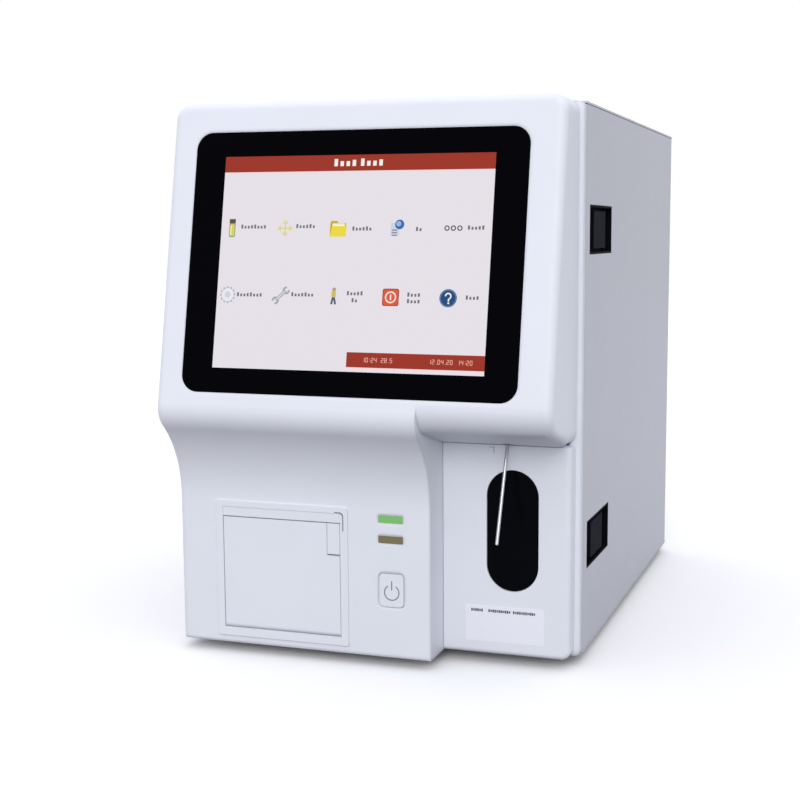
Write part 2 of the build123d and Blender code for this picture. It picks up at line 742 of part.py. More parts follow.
def lift_motor():
    top = EAR_TOP + LIFT_PLATE
    front, back = SCREW_BEHIND - MOTOR_HALF, SCREW_BEHIND + MOTOR_HALF
    body = lift_block(-MOTOR_HALF, MOTOR_HALF, front, back, top, top + MOTOR_LONG)
    return body - lift_rod(0, SCREW_BEHIND, SCREW_RADIUS + RUNNING, top - OVER, top + SHAFT_IN + SHAFT_ROOM)


def rinse_block():
    """Wipes and rinses the needle where it leaves the machine."""
    body = lift_block(-RINSE_HALF, RINSE_HALF, -RINSE_HALF, RINSE_HALF, RINSE_START, EAR_LOW)
    body -= lift_rod(0, 0, RINSE_BORE, RINSE_START - OVER, EAR_LOW + OVER)
    for along in (RINSE_START + BARB_IN, EAR_LOW - BARB_IN):
        place = Pos(RINSE_HALF + BARB_LONG / 2, 0, along) * Rot(0, 90, 0)
        body += LIFT * place * Cylinder(BARB_RADIUS, BARB_LONG)
    return body


# Printer

def printer_bezel():
    """A flat rim that sits on the block, and a short tube through its wall."""
    middle_x, middle_z = (PRINTER_LEFT + PRINTER_RIGHT) / 2, (PRINTER_LOW + PRINTER_HIGH) / 2
    rim = rounded(middle_x, middle_z, PRINTER_RIGHT - PRINTER_LEFT, PRINTER_HIGH - PRINTER_LOW, BEZEL_CORNER)
    bezel = front_plate(rim, -BLOCK_REACH - BEZEL_PROUD, -BLOCK_REACH)
    bezel += block(TUBE_LEFT, TUBE_RIGHT, -BLOCK_REACH, TUBE_BACK, TUBE_LOW, TUBE_HIGH)
    front, back = -BLOCK_REACH - BEZEL_PROUD - OVER, TUBE_BACK + OVER
    bezel -= block(DOOR_LEFT - DOOR_GAP, DOOR_RIGHT + DOOR_GAP, front, back, DOOR_LOW - DOOR_GAP, STRIP_TOP)
    return bezel - rod_x(HINGE_Y, HINGE_Z, HINGE_PIN, TUBE_LEFT - OVER, TUBE_RIGHT + OVER)


def tear_bar():
    """The strip above the paper slot, with its lower edge bevelled for tearing."""
    low = DOOR_HIGH + PAPER_SLOT
    points = [(DOOR_FACE, low), (DOOR_FACE, STRIP_TOP), (TUBE_BACK, STRIP_TOP), (TUBE_BACK, low + TEAR_BEVEL)]
    return side_plate(make_face(Polyline(*points, close=True)), DOOR_LEFT - DOOR_GAP, DOOR_RIGHT + DOOR_GAP)


def printer_door():
    """A flat cover with a hinge barrel along its lower edge and two ears for the roller."""
    door = block(DOOR_LEFT, DOOR_RIGHT, DOOR_FACE, DOOR_FACE + DOOR_THICK, HINGE_Z, DOOR_HIGH)
    door += rod_x(HINGE_Y, HINGE_Z, DOOR_THICK, DOOR_LEFT, DOOR_RIGHT)
    door -= rod_x(HINGE_Y, HINGE_Z, HINGE_PIN + RUNNING, DOOR_LEFT - OVER, DOOR_RIGHT + OVER)
    left, low = DOOR_RIGHT - LATCH_WIDTH, DOOR_HIGH - LATCH_HEIGHT
    back = DOOR_FACE + DOOR_THICK
    door -= block(left - RIM_GAP, DOOR_RIGHT + OVER, DOOR_FACE - OVER, back + OVER,
                  low - NAIL_GAP, DOOR_HIGH + OVER)
    door -= rod_x(LATCH_Y, LATCH_Z, LATCH_PIN + RUNNING, left - LATCH_PIN_LONG - SHAFT_ROOM, DOOR_RIGHT)
    for x in EAR_X:
        end = x + DOOR_EAR
        reach = ROLLER_Y + ROLLER_PIN + DOOR_EAR
        door += block(x, end, back, reach, ROLLER_Z - EAR_HALF, ROLLER_Z + EAR_HALF)
        door -= rod_x(ROLLER_Y, ROLLER_Z, ROLLER_PIN + RUNNING, x - OVER, end + OVER)
    return door


def printer_pin():
    return rod_x(HINGE_Y, HINGE_Z, HINGE_PIN, TUBE_LEFT, TUBE_RIGHT)


def printer_latch():
    """A small lever in the door's corner, with its pin and its hook."""
    left = DOOR_RIGHT - LATCH_WIDTH
    back = DOOR_FACE + LATCH_THICK
    lever = block(left, DOOR_RIGHT, DOOR_FACE, back, DOOR_HIGH - LATCH_HEIGHT, DOOR_HIGH)
    lever += rod_x(LATCH_Y, LATCH_Z, LATCH_PIN, left - LATCH_PIN_LONG, left)
    hook = block(left + LATCH_HOOK_IN, DOOR_RIGHT - LATCH_HOOK_IN, back, back + LATCH_HOOK,
                 LATCH_Z, DOOR_HIGH)
    return lever + hook


def gear(y, z, teeth, module, x0, x1):
    """A straight-toothed wheel about X, each tooth a small trapezium on the root circle."""
    root = module * (teeth / 2 - TOOTH_BELOW)
    tip = module * (teeth / 2 + 1)
    wheel = rod_x(y, z, root, x0, x1)
    sunk = root - module / 2
    base, top = module * TOOTH_BASE, module * TOOTH_TOP
    tooth = make_face(Polyline((sunk, -base), (tip, -top), (tip, top), (sunk, base), close=True))
    for step in range(teeth):
        wheel += side_plate(Pos(y, z) * Rot(0, 0, 360 * step / teeth) * tooth, x0, x1)
    return wheel


def platen_roller():
    """Rubber-covered roller on the door, with the wheel that drives it."""
    left, right = EAR_X[0] + DOOR_EAR + RIM_GAP, EAR_X[1] - RIM_GAP
    wheel = EAR_X[1] + DOOR_EAR + RIM_GAP
    roller = rod_x(ROLLER_Y, ROLLER_Z, ROLLER_RADIUS, left, right)
    roller += rod_x(ROLLER_Y, ROLLER_Z, ROLLER_PIN, EAR_X[0], wheel)
    return roller + gear(ROLLER_Y, ROLLER_Z, GEAR_TEETH, GEAR_MODULE, wheel, wheel + GEAR_WIDE)


def tray_outline(inset):
    """Side view of the paper tray: a box with a round cradle below."""
    radius = PAPER_ROLL / 2 + TRAY_SLACK + TRAY_WALL - inset
    low = TRAY_LOW + radius + inset
    high = TUBE_HIGH - inset
    middle = TUBE_BACK + radius + inset
    face = Pos(middle, (low + high) / 2) * Rectangle(2 * radius, high - low)
    return face + Pos(middle, low) * Circle(radius)


def paper_tray():
    tray = side_plate(tray_outline(0), TUBE_LEFT, TUBE_RIGHT)
    left, right = TUBE_LEFT + TRAY_WALL, TUBE_RIGHT - TRAY_WALL
    front, back = TUBE_BACK - OVER, TUBE_BACK + TRAY_WALL + OVER
    tray -= side_plate(tray_outline(TRAY_WALL), left, right)
    return tray - block(left, right, front, back, TRAY_MOUTH, TUBE_HIGH - TRAY_WALL)


def print_head():
    """The heated bar that the roller presses the paper on, hung from the tray's roof."""
    front = ROLLER_Y + ROLLER_RADIUS + RIM_GAP
    half = PAPER_WIDTH / 2
    low, high = ROLLER_Z - HEAD_BELOW, TUBE_HIGH - TRAY_WALL
    return block(PAPER_X - half, PAPER_X + half, front, front + HEAD_THICK, low, high)


# Case

def base_pan():
    """Folded tray: floor, front lip, left lip and the sill under the door."""
    floor = block(-HALF, HALF, FLANGE_THICK, CASE_DEPTH, FOOT_HEIGHT, PAN_TOP)
    back = CASE_DEPTH - SHEET
    left, top = -HALF + SHEET, PAN_TOP + PAN_LIP
    floor += block(left, SILL_X, FLANGE_THICK, FLANGE_THICK + SHEET, PAN_TOP, top)
    floor += block(left, left + SHEET, FLANGE_THICK, back, PAN_TOP, top)
    return floor + block(SILL_X, SILL_X + SHEET, FLANGE_THICK, back, PAN_TOP, top)


def vent_slots():
    """Air slots low on the left side, drawn in Y and Z."""
    for row in range(VENT_ROWS):
        for column in range(VENT_COLUMNS):
            place = Pos(VENT_Y + column * VENT_STEP_Y, VENT_Z + row * VENT_STEP_Z)
            yield place * SlotOverall(VENT_LONG, VENT_HIGH)


def top_left_cover():
    """One folded sheet: the lid and the left side, with returns behind the flange and the rear panel."""
    lid = block(-HALF, HALF, FLANGE_THICK, CASE_DEPTH, LID_UNDER, CASE_TOP)
    side = block(-HALF, -HALF + SHEET, FLANGE_THICK, CASE_DEPTH, PAN_TOP, CASE_TOP)
    cover = lid + side
    fold = [edge for edge in cover.edges()
            if abs(edge.center().X + HALF) < 0.01 and abs(edge.center().Z - CASE_TOP) < 0.01]
    cover = fillet(fold, FOLD)
    inner = -HALF + SHEET
    for y in (FLANGE_THICK, CASE_DEPTH - 2 * SHEET):
        cover += block(inner, inner + RETURN, y, y + SHEET, PAN_TOP + PAN_LIP, LID_UNDER)
        cover += block(inner, SILL_X, y, y + SHEET, LID_UNDER - RETURN, LID_UNDER)
    slots = Sketch() + list(vent_slots())
    return cover - side_plate(slots, -HALF - OVER, -HALF + SHEET + OVER)


def fan_grille():
    """Straight slots across the fan's circle, drawn in X and Z."""
    reach = FAN_SIZE / 2 - GRILLE_RIM
    count = int(reach / GRILLE_STEP)
    for row in range(-count, count + 1):
        z = row * GRILLE_STEP
        length = 2 * (reach**2 - z**2) ** 0.5 + 2 * GRILLE_SLOT
        yield Pos(FAN_X, FAN_Z + z) * SlotOverall(length, GRILLE_SLOT)


def port_sizes():
    """Name, width, height and place down the rear panel of each data socket."""
    return (("serial", 31.0, 12.5, 0.0), ("network", 16.0, 13.5, -28.0), ("first", 13.2, 5.8, -50.0),
            ("second", 13.2, 5.8, -64.0))


def panel_screws():
    right = REAR_RIGHT - SCREW_IN
    left = -HALF + SHEET + SCREW_IN
    low, high = PAN_TOP + PAN_LIP + SCREW_IN, LID_UNDER - SCREW_IN
    middle = (low + high) / 2
    return [(left, low), (left, middle), (left, high), ((left + right) / 2, high), (right - SCREW_IN, high)]


def rear_panel():
    panel = block(-HALF + SHEET, REAR_RIGHT, CASE_DEPTH - SHEET, CASE_DEPTH, PAN_TOP, LID_UNDER)
    slack = 2 * SEAT_FIT
    holes = Sketch() + list(fan_grille())
    holes += rounded(INLET_X, INLET_Z, INLET_WIDTH + slack, INLET_HEIGHT + slack, INLET_CORNER)
    holes += rounded(SWITCH_X, INLET_Z, SWITCH_WIDTH + slack, SWITCH_HEIGHT + slack, SWITCH_CORNER)
    for x in FITTING_X:
        holes += Pos(x, FITTING_Z) * Circle(FITTING_THREAD + SEAT_FIT)
    for _, width, height, down in port_sizes():
        holes += Pos(PORT_X, PORT_Z + down) * Rectangle(width + slack, height + slack)
    holes += Pos(STUD_X, STUD_Z) * Circle(STUD_RADIUS + SEAT_FIT)
    for x, z in panel_screws():
        holes += Pos(x, z) * Circle(SCREW_SHANK + SEAT_FIT)
    return panel - front_plate(holes, CASE_DEPTH - SHEET - OVER, CASE_DEPTH + OVER)


def case_screws():
    """Round-headed screws of the rear panel."""
    made = []
    for x, z in panel_screws():
        head = rod_y(x, z, SCREW_HEAD, CASE_DEPTH, CASE_DEPTH + SCREW_HEAD_HIGH)
        made.append(head + rod_y(x, z, SCREW_SHANK, CASE_DEPTH - SHEET, CASE_DEPTH))
    return Part() + made


def feet():
    made = []
    for x in (-HALF + FOOT_INSET, HALF - FOOT_INSET):
        for y in (FOOT_INSET, CASE_DEPTH - FOOT_INSET):
            foot = rod_z(x, y, FOOT_RADIUS, 0, FOOT_HEIGHT)
            made.append(chamfer(foot.faces().sort_by(Axis.Z)[0].edges(), FOOT_CHAMFER))
    return Part() + made


def middle_wall():
    """The upright sheet between the wet side and the electronics, with a folded foot and spacers."""
    back = CASE_DEPTH - 2 * SHEET
    wall = block(MID_X, WET_LEFT, WALL_START, back, PAN_TOP, LID_UNDER - RETURN)
    wall += block(WET_LEFT, WET_LEFT + PAN_LIP, WALL_START, back, PAN_TOP, PAN_TOP + SHEET)
    for y in (BOARD_Y[0] + SPACER_IN, BOARD_Y[1] - SPACER_IN):
        for z in (BOARD_Z[0] + SPACER_IN, BOARD_Z[1] - SPACER_IN):
            wall += rod_x(y, z, SPACER_RADIUS, MID_X - SPACER, MID_X)
    return wall


# Service door

def side_door():
    """A folded panel hung on two pins at the rear corner."""
    inner = HALF - SHEET
    axis_y = CASE_DEPTH - DOOR_BARREL
    door = block(inner, HALF, DOOR_START, axis_y, DOOR_BOTTOM, DOOR_TOP)
    door += rod_z(HALF - DOOR_BARREL, axis_y, DOOR_BARREL, DOOR_BOTTOM, DOOR_TOP)
    door += block(inner - DOOR_RETURN, inner, DOOR_START, DOOR_START + SHEET, DOOR_BOTTOM, DOOR_TOP)
    for z in (DOOR_BOTTOM, DOOR_TOP - SHEET):
        door += block(inner - DOOR_RETURN, inner, DOOR_START, axis_y - 2 * DOOR_RETURN, z, z + SHEET)
    ends = ((DOOR_BOTTOM - OVER, PAN_TOP + PIN_LONG + OVER), (LID_UNDER - PIN_LONG - OVER, DOOR_TOP + OVER))
    for z0, z1 in ends:
        door -= rod_z(HALF - DOOR_BARREL, axis_y, DOOR_PIN + RUNNING, z0, z1)
    front, back = PULL_FRONT - LAMP_FIT, PULL_FRONT + PULL_LENGTH + LAMP_FIT
    reach = PULL_HEIGHT / 2 + LAMP_FIT
    for z in PULL_CENTRES.values():
        door -= block(inner - OVER, HALF + OVER, front, back, z - reach, z + reach)
    return door


def door_pins():
    x, y = HALF - DOOR_BARREL, CASE_DEPTH - DOOR_BARREL
    ends = ((PAN_TOP, PAN_TOP + PIN_LONG), (LID_UNDER - PIN_LONG, LID_UNDER))
    return Part() + [rod_z(x, y, DOOR_PIN, low, high) for low, high in ends]


def pull_frame(z):
    """The black pocket let into the door, open to the outside."""
    back = PULL_FRONT + PULL_LENGTH
    half = PULL_HEIGHT / 2
    floor, inside = HALF - PULL_DEPTH, half - PULL_WALL
    front, rear = PULL_FRONT + PULL_WALL, back - PULL_WALL
    frame = block(floor, HALF, PULL_FRONT, back, z - half, z + half)
    frame -= block(floor + PULL_WALL, HALF + OVER, front, rear, z - inside, z + inside)
    return frame - rod_z(PADDLE_X, PADDLE_Y, PADDLE_PIN + RUNNING, z - half - OVER, z + half + OVER)


def pull_paddle(z):
    """The lever inside the pocket, hinged at its rear end."""
    half, thick = PADDLE_HEIGHT / 2, PADDLE_THICK / 2
    paddle = block(PADDLE_X - thick, PADDLE_X + thick, PADDLE_FRONT, PADDLE_Y, z - half, z + half)
    paddle += rod_z(PADDLE_X, PADDLE_Y, thick, z - half, z + half)
    reach = PULL_HEIGHT / 2 - KEY_PLAY
    return paddle + rod_z(PADDLE_X, PADDLE_Y, PADDLE_PIN, z - reach, z + reach)


# Rear fittings

def fan_frame():
    front, back = CASE_DEPTH - SHEET - FAN_DEEP, CASE_DEPTH - SHEET
    body = front_plate(rounded(FAN_X, FAN_Z, FAN_SIZE, FAN_SIZE, FAN_CORNER), front, back)
    body -= rod_y(FAN_X, FAN_Z, FAN_SIZE / 2 - FAN_WALL, front - OVER, back + OVER)
    arms = rod_y(FAN_X, FAN_Z, FAN_HUB, front, front + FAN_WALL)
    for angle in (45, 135):
        bar = Pos(FAN_X, 0, FAN_Z) * Rot(0, angle, 0) * Box(FAN_SIZE - FAN_WALL, FAN_WALL, FAN_ARM)
        arms += Pos(0, front + FAN_WALL / 2, 0) * bar
    arms += rod_y(FAN_X, FAN_Z, FAN_SHAFT, front + FAN_WALL, front + FAN_DEEP / 2)
    return body + arms


def fan_rotor():
    """Hub and pitched blades on the frame's shaft."""
    front = CASE_DEPTH - SHEET - FAN_DEEP + FAN_WALL + RIM_GAP
    back = CASE_DEPTH - SHEET - FAN_WALL
    tip = FAN_SIZE / 2 - FAN_WALL - FAN_TIP_GAP
    middle = (front + back) / 2
    blades = Part()
    for number in range(FAN_BLADES):
        blade = Pos(tip / 2, 0, 0) * Rot(FAN_PITCH, 0, 0) * Box(tip + FAN_ARM, FAN_BLADE, back - front)
        blades += Pos(FAN_X, middle, FAN_Z) * Rot(0, 360 * number / FAN_BLADES, 0) * blade
    blades &= rod_y(FAN_X, FAN_Z, tip, front, back)
    rotor = blades + rod_y(FAN_X, FAN_Z, FAN_HUB, front, back)
    return rotor - rod_y(FAN_X, FAN_Z, FAN_SHAFT + RUNNING, front - OVER, front + FAN_DEEP / 2)


def mains_inlet():
    """Three-pin appliance inlet with its flange outside the panel."""
    back = CASE_DEPTH + RIM_THICK
    floor = back - INLET_CUP
    rim, walls = 2 * INLET_RIM, 2 * INLET_WALL
    outer = rounded(INLET_X, INLET_Z, INLET_WIDTH, INLET_HEIGHT, INLET_CORNER)
    flange = rounded(INLET_X, INLET_Z, INLET_WIDTH + rim, INLET_HEIGHT + rim, INLET_CORNER)
    cup = rounded(INLET_X, INLET_Z, INLET_WIDTH - walls, INLET_HEIGHT - walls, INLET_CUP_CORNER)
    body = front_plate(outer, CASE_DEPTH - INLET_DEEP, back) + front_plate(flange, CASE_DEPTH, back)
    body -= front_plate(cup, floor, back + OVER)
    for x, z in INLET_PINS:
        pin = Pos(INLET_X + x, INLET_Z + z) * Rectangle(INLET_PIN_WIDE, INLET_PIN_HIGH)
        body += front_plate(pin, floor, back - INLET_PIN_IN)
    return body


def switch_frame():
    back = CASE_DEPTH + RIM_THICK
    rim = 2 * SWITCH_RIM
    outer = rounded(SWITCH_X, INLET_Z, SWITCH_WIDTH, SWITCH_HEIGHT, SWITCH_CORNER)
    flange = rounded(SWITCH_X, INLET_Z, SWITCH_WIDTH + rim, SWITCH_HEIGHT + rim, SWITCH_CORNER)
    body = front_plate(outer, CASE_DEPTH - SWITCH_DEEP, back) + front_plate(flange, CASE_DEPTH, back)
    cup = Rectangle(2 * (ROCKER_HALF + RIM_GAP), SWITCH_HEIGHT - 2 * SWITCH_WALL)
    body -= front_plate(Pos(SWITCH_X, INLET_Z) * cup, CASE_DEPTH - SWITCH_CUP, back + OVER)
    reach = SWITCH_WIDTH / 2 - ROCKER_PIN_HOLE
    return body - rod_x(ROCKER_Y, INLET_Z, ROCKER_PIN + RUNNING, SWITCH_X - reach, SWITCH_X + reach)


def switch_rocker():
    """The rocker, at rest with its lower end in; its two outer faces meet at a shallow angle."""
    half = SWITCH_HEIGHT / 2 - ROCKER_END_GAP
    low, high = ROCKER_FACE, ROCKER_FACE + tan(radians(SWITCH_ROCK)) * half
    points = [(-ROCKER_TAIL, -ROCKER_TAIL_HALF), (low, -half), (high, -half), (low, 0), (high, half),
              (low, half), (-ROCKER_TAIL, ROCKER_TAIL_HALF)]
    face = Pos(ROCKER_Y, INLET_Z) * Rot(0, 0, SWITCH_ROCK) * make_face(Polyline(*points, close=True))
    reach = SWITCH_WIDTH / 2 - ROCKER_PIN_IN
    body = side_plate(face, SWITCH_X - ROCKER_HALF, SWITCH_X + ROCKER_HALF)
    return body + rod_x(ROCKER_Y, INLET_Z, ROCKER_PIN, SWITCH_X - reach, SWITCH_X + reach)


def reagent_fittings():
    """Hose connectors of the liquids, through the rear panel."""
    made = []
    inside = CASE_DEPTH - SHEET
    for x in FITTING_X:
        body = rod_y(x, FITTING_Z, FITTING_COLLAR, CASE_DEPTH, CASE_DEPTH + COLLAR_THICK)
        body += rod_y(x, FITTING_Z, FITTING_RADIUS, CASE_DEPTH, REAR_REACH)
        body += rod_y(x, FITTING_Z, FITTING_THREAD, inside - COLLAR_THICK, CASE_DEPTH)
        body += rod_y(x, FITTING_Z, FITTING_RADIUS, inside - FITTING_LONG, CASE_DEPTH)
        made.append(body)
    return Part() + made


def data_ports():
    """Hollow sockets, all but one with a tongue inside, soldered to one upright board."""
    made = []
    board, floor = CASE_DEPTH - PORT_DEEP, CASE_DEPTH - PORT_DEEP + PORT_FLOOR
    for name, width, height, down in port_sizes():
        place = Pos(PORT_X, PORT_Z + down)
        mouth = Rectangle(width - 2 * PORT_WALL, height - 2 * PORT_WALL)
        body = front_plate(place * Rectangle(width, height), board, CASE_DEPTH + PORT_PROUD)
        body -= front_plate(place * mouth, floor, CASE_DEPTH + PORT_PROUD + OVER)
        if name != "network":
            tongue = Rectangle(width - 2 * PORT_TONGUE, height / 4)
            body += front_plate(place * tongue, floor, CASE_DEPTH - PORT_FLOOR)
        made.append(body)
    low, high = PORT_Z - PORT_BOARD_UNDER, PORT_Z + PORT_BOARD_OVER
    half = PORT_BOARD / 2
    return block(PORT_X - half, PORT_X + half, board - BOARD_THICK, board, low, high) + made


def ground_stud():
    stud = rod_y(STUD_X, STUD_Z, STUD_RADIUS, CASE_DEPTH - SHEET - STUD_IN, CASE_DEPTH + STUD_OUT)
    nut = Pos(STUD_X, STUD_Z) * RegularPolygon(2 * STUD_RADIUS, 6)
    return stud + front_plate(nut, CASE_DEPTH, CASE_DEPTH + STUD_NUT)


# Wet side

def bath(y):
    """A cup with a sloping floor and a drain, hung by its collar."""
    low, drain = BATH_TOP - BATH_HEIGHT, BATH_TOP - BATH_HEIGHT - BATH_DRAIN_LONG
    inside, edge, top = BATH_RADIUS - BATH_WALL, BATH_RADIUS + BATH_FLANGE, BATH_COLLAR + BATH_FLANGE
    outer = [(0, drain), (BATH_DRAIN, drain), (BATH_DRAIN, low), (BATH_RADIUS, low + BATH_SLOPE)]
    collar = [(BATH_RADIUS, BATH_COLLAR), (edge, BATH_COLLAR), (edge, top), (BATH_RADIUS, top)]
    inner = [(BATH_RADIUS, BATH_TOP), (inside, BATH_TOP), (inside, low + BATH_SLOPE + BATH_END),
             (BATH_BORE, low + BATH_WALL), (BATH_BORE, drain + BATH_END), (0, drain + BATH_END)]
    cup = revolve(Plane.XZ * make_face(Polyline(*outer, *collar, *inner, close=True)), Axis.Z)
    return Pos(BATH_X, y, 0) * cup


def bath_shelf():
    front, back = min(BATH_Y.values()) - SHELF_SIDE, max(BATH_Y.values()) + SHELF_SIDE
    right, low = BATH_X + BATH_RADIUS + SHELF_FRONT, BATH_COLLAR - SHEET
    shelf = block(WET_LEFT, right, front, back, low, BATH_COLLAR)
    shelf += block(WET_LEFT, WET_LEFT + SHEET, front, back, BATH_COLLAR - SHELF_FOLD, BATH_COLLAR)
    for y in BATH_Y.values():
        shelf -= rod_z(BATH_X, y, BATH_RADIUS + SEAT_FIT, low - OVER, BATH_COLLAR + OVER)
    return shelf


def syringe_frame():
    """Back plate with a head above and a foot below, fixed to the middle wall."""
    plate, front = WET_LEFT + SYRINGE_PLATE, SYRINGE_X + SYRINGE_REACH
    y0, y1 = SYRINGE_BACK - SYRINGE_SIDE, SYRINGE_SCREW_Y + SYRINGE_SIDE
    low, high = SYRINGE_FOOT - SYRINGE_PLATE, SYRINGE_HEAD + SYRINGE_BLOCK
    frame = block(WET_LEFT, plate, y0, y1, low, high)
    frame += block(plate, front, y0, y1, SYRINGE_HEAD, high)
    frame += block(plate, front, y0, y1, low, SYRINGE_FOOT)
    for y, radius in ((SYRINGE_GUIDE_Y, GUIDE_RADIUS), (SYRINGE_SCREW_Y, SCREW_RADIUS + RUNNING)):
        frame -= rod_z(SYRINGE_GUIDE_X, y, radius, low - OVER, SYRINGE_HEAD + SYRINGE_SEAT)
    return frame


def syringe_barrels():
    made = []
    low = SYRINGE_HEAD - BARREL_LONG
    for y, radius in SYRINGES:
        tube = rod_z(SYRINGE_X, y, radius, low, SYRINGE_HEAD)
        made.append(tube - rod_z(SYRINGE_X, y, radius - BARREL_WALL, low - OVER, SYRINGE_HEAD - BARREL_END))
    return Part() + made


def syringe_plungers():
    """Both plungers and the cross bar that moves them."""
    top, rod_top = SYRINGE_HEAD - PLUNGER_ROOM, SYRINGE_HEAD - PLUNGER_ROOM - PLUNGER_LONG
    front, back = SYRINGE_BACK - BAR_SIDE, SYRINGE_SCREW_Y + BAR_SIDE
    bar_top = BAR_Z + BAR_HIGH
    bar = block(SYRINGE_GUIDE_X - BAR_LEFT, SYRINGE_X + BAR_RIGHT, front, back, BAR_Z, bar_top)
    for y, radius in SYRINGES:
        bore = radius - BARREL_WALL - RUNNING
        bar += rod_z(SYRINGE_X, y, bore, rod_top, top)
        bar += rod_z(SYRINGE_X, y, bore * ROD_SHARE, bar_top, rod_top)
    for y, radius in ((SYRINGE_GUIDE_Y, GUIDE_RADIUS), (SYRINGE_SCREW_Y, SCREW_RADIUS)):
        bar -= rod_z(SYRINGE_GUIDE_X, y, radius + RUNNING, BAR_Z - OVER, bar_top + OVER)
    return bar


def syringe_guide():
    low, high = SYRINGE_FOOT - SYRINGE_PLATE, SYRINGE_HEAD + SYRINGE_SEAT
    return rod_z(SYRINGE_GUIDE_X, SYRINGE_GUIDE_Y, GUIDE_RADIUS, low, high)


def syringe_screw():
    low, high = SYRINGE_FOOT - SYRINGE_PLATE - SHAFT_IN, SYRINGE_HEAD + SYRINGE_SEAT
    return rod_z(SYRINGE_GUIDE_X, SYRINGE_SCREW_Y, SCREW_RADIUS, low, high)


def syringe_motor():
    x, y, top = SYRINGE_GUIDE_X, SYRINGE_SCREW_Y, SYRINGE_FOOT - SYRINGE_PLATE
    body = block(x - MOTOR_HALF, x + MOTOR_HALF, y - MOTOR_HALF, y + MOTOR_HALF, top - MOTOR_LONG, top)
    return body - rod_z(x, y, SCREW_RADIUS + RUNNING, top - SHAFT_IN - SHAFT_ROOM, top + OVER)


def valve_bank():
    """Pinch valves in a row on one manifold, each a coil with a round nose."""
    left = WET_LEFT + MANIFOLD
    front, back = FIRST_VALVE - VALVE_END, FIRST_VALVE + (VALVES - 1) * VALVE_STEP + VALVE_END
    bank = block(WET_LEFT, left, front, back, VALVE_Z - MANIFOLD_HALF, VALVE_Z + MANIFOLD_HALF)
    for number in range(VALVES):
        y = FIRST_VALVE + number * VALVE_STEP
        bank += block(left, left + COIL_LONG, y - COIL_HALF, y + COIL_HALF, VALVE_Z - COIL_HALF_HIGH,
                      VALVE_Z + COIL_HALF_HIGH)
        bank += rod_x(y, VALVE_Z, VALVE_NOSE, left + COIL_LONG, left + COIL_LONG + VALVE_NOSE_LONG)
    return bank


def pump_housing():
    """Motor can on the middle wall with a round open pump head."""
    head = WET_LEFT + PUMP_MOTOR_LONG
    end, floor = head + PUMP_HEAD_LONG, head + PUMP_WALL
    body = rod_x(PUMP_Y, PUMP_Z, PUMP_MOTOR, WET_LEFT, head) + rod_x(PUMP_Y, PUMP_Z, PUMP_OUTER, head, end)
    body -= rod_x(PUMP_Y, PUMP_Z, PUMP_INNER, floor, end + OVER)
    return body + rod_x(PUMP_Y, PUMP_Z, FAN_SHAFT, floor, floor + PUMP_SHAFT_LONG)


def pump_rotor():
    """Rollers between two discs, squeezing the tube as they turn."""
    start = WET_LEFT + PUMP_MOTOR_LONG + PUMP_WALL + RIM_GAP
    end = start + PUMP_ROTOR_LONG
    rotor = rod_x(PUMP_Y, PUMP_Z, PUMP_HUB, start, end)
    for x in (start, end - PUMP_DISC_THICK):
        rotor += rod_x(PUMP_Y, PUMP_Z, PUMP_DISC, x, x + PUMP_DISC_THICK)
    for number in range(PUMP_ROLLERS):
        angle = radians(360 / PUMP_ROLLERS * number)
        y, z = PUMP_Y + PUMP_ROLLER_OUT * sin(angle), PUMP_Z + PUMP_ROLLER_OUT * cos(angle)
        rotor += rod_x(y, z, PUMP_ROLLER, start + PUMP_DISC_THICK, end - PUMP_DISC_THICK)
    return rotor - rod_x(PUMP_Y, PUMP_Z, FAN_SHAFT + RUNNING, start - OVER, start + PUMP_SHAFT_LONG + OVER)


def waste_chamber():
    """Clear closed pot that stands on the pan."""
    lid = PAN_TOP + CHAMBER_HIGH
    top = lid + CHAMBER_LID_HIGH
    pot = rod_z(CHAMBER_X, CHAMBER_Y, CHAMBER_RADIUS, PAN_TOP, lid)
    pot += rod_z(CHAMBER_X, CHAMBER_Y, CHAMBER_LID, lid, top)
    for x in (-CHAMBER_PORT_OUT, CHAMBER_PORT_OUT):
        pot += rod_z(CHAMBER_X + x, CHAMBER_Y, CHAMBER_PORT, top, top + CHAMBER_PORT_LONG)
    return pot


# Dry side

def main_board():
    """Circuit board with its chips and a row of connectors along its lower edge."""
    back = MID_X - SPACER
    face = back - BOARD_THICK
    board = block(face, back, *BOARD_Y, *BOARD_Z)
    for y, z, side, high in CHIPS:
        chip = Pos(BOARD_Y[0] + y, BOARD_Z[0] + z) * Rectangle(side, side)
        board += side_plate(chip, face - high, face)
    low = BOARD_Z[0] + PLUG_LOW
    for number in range(PLUGS):
        y = BOARD_Y[0] + PLUG_START + number * PLUG_STEP
        board += block(face - PLUG_HIGH, face, y, y + PLUG_LONG, low, low + PLUG_WIDE)
    return board


def power_supply():
    """Closed metal box on the pan, with its row of terminals."""
    left, low = -HALF + SUPPLY_LEFT, PAN_TOP + TERMINALS_LOW
    box = block(left, left + SUPPLY_WIDTH, SUPPLY_Y, SUPPLY_Y + SUPPLY_DEEP, PAN_TOP, PAN_TOP + SUPPLY_HIGH)
    first, last = left + TERMINALS_IN, left + TERMINALS_IN + TERMINALS_WIDTH
    return box + block(first, last, SUPPLY_Y - TERMINALS_DEEP, SUPPLY_Y, low, low + TERMINALS_HIGH)


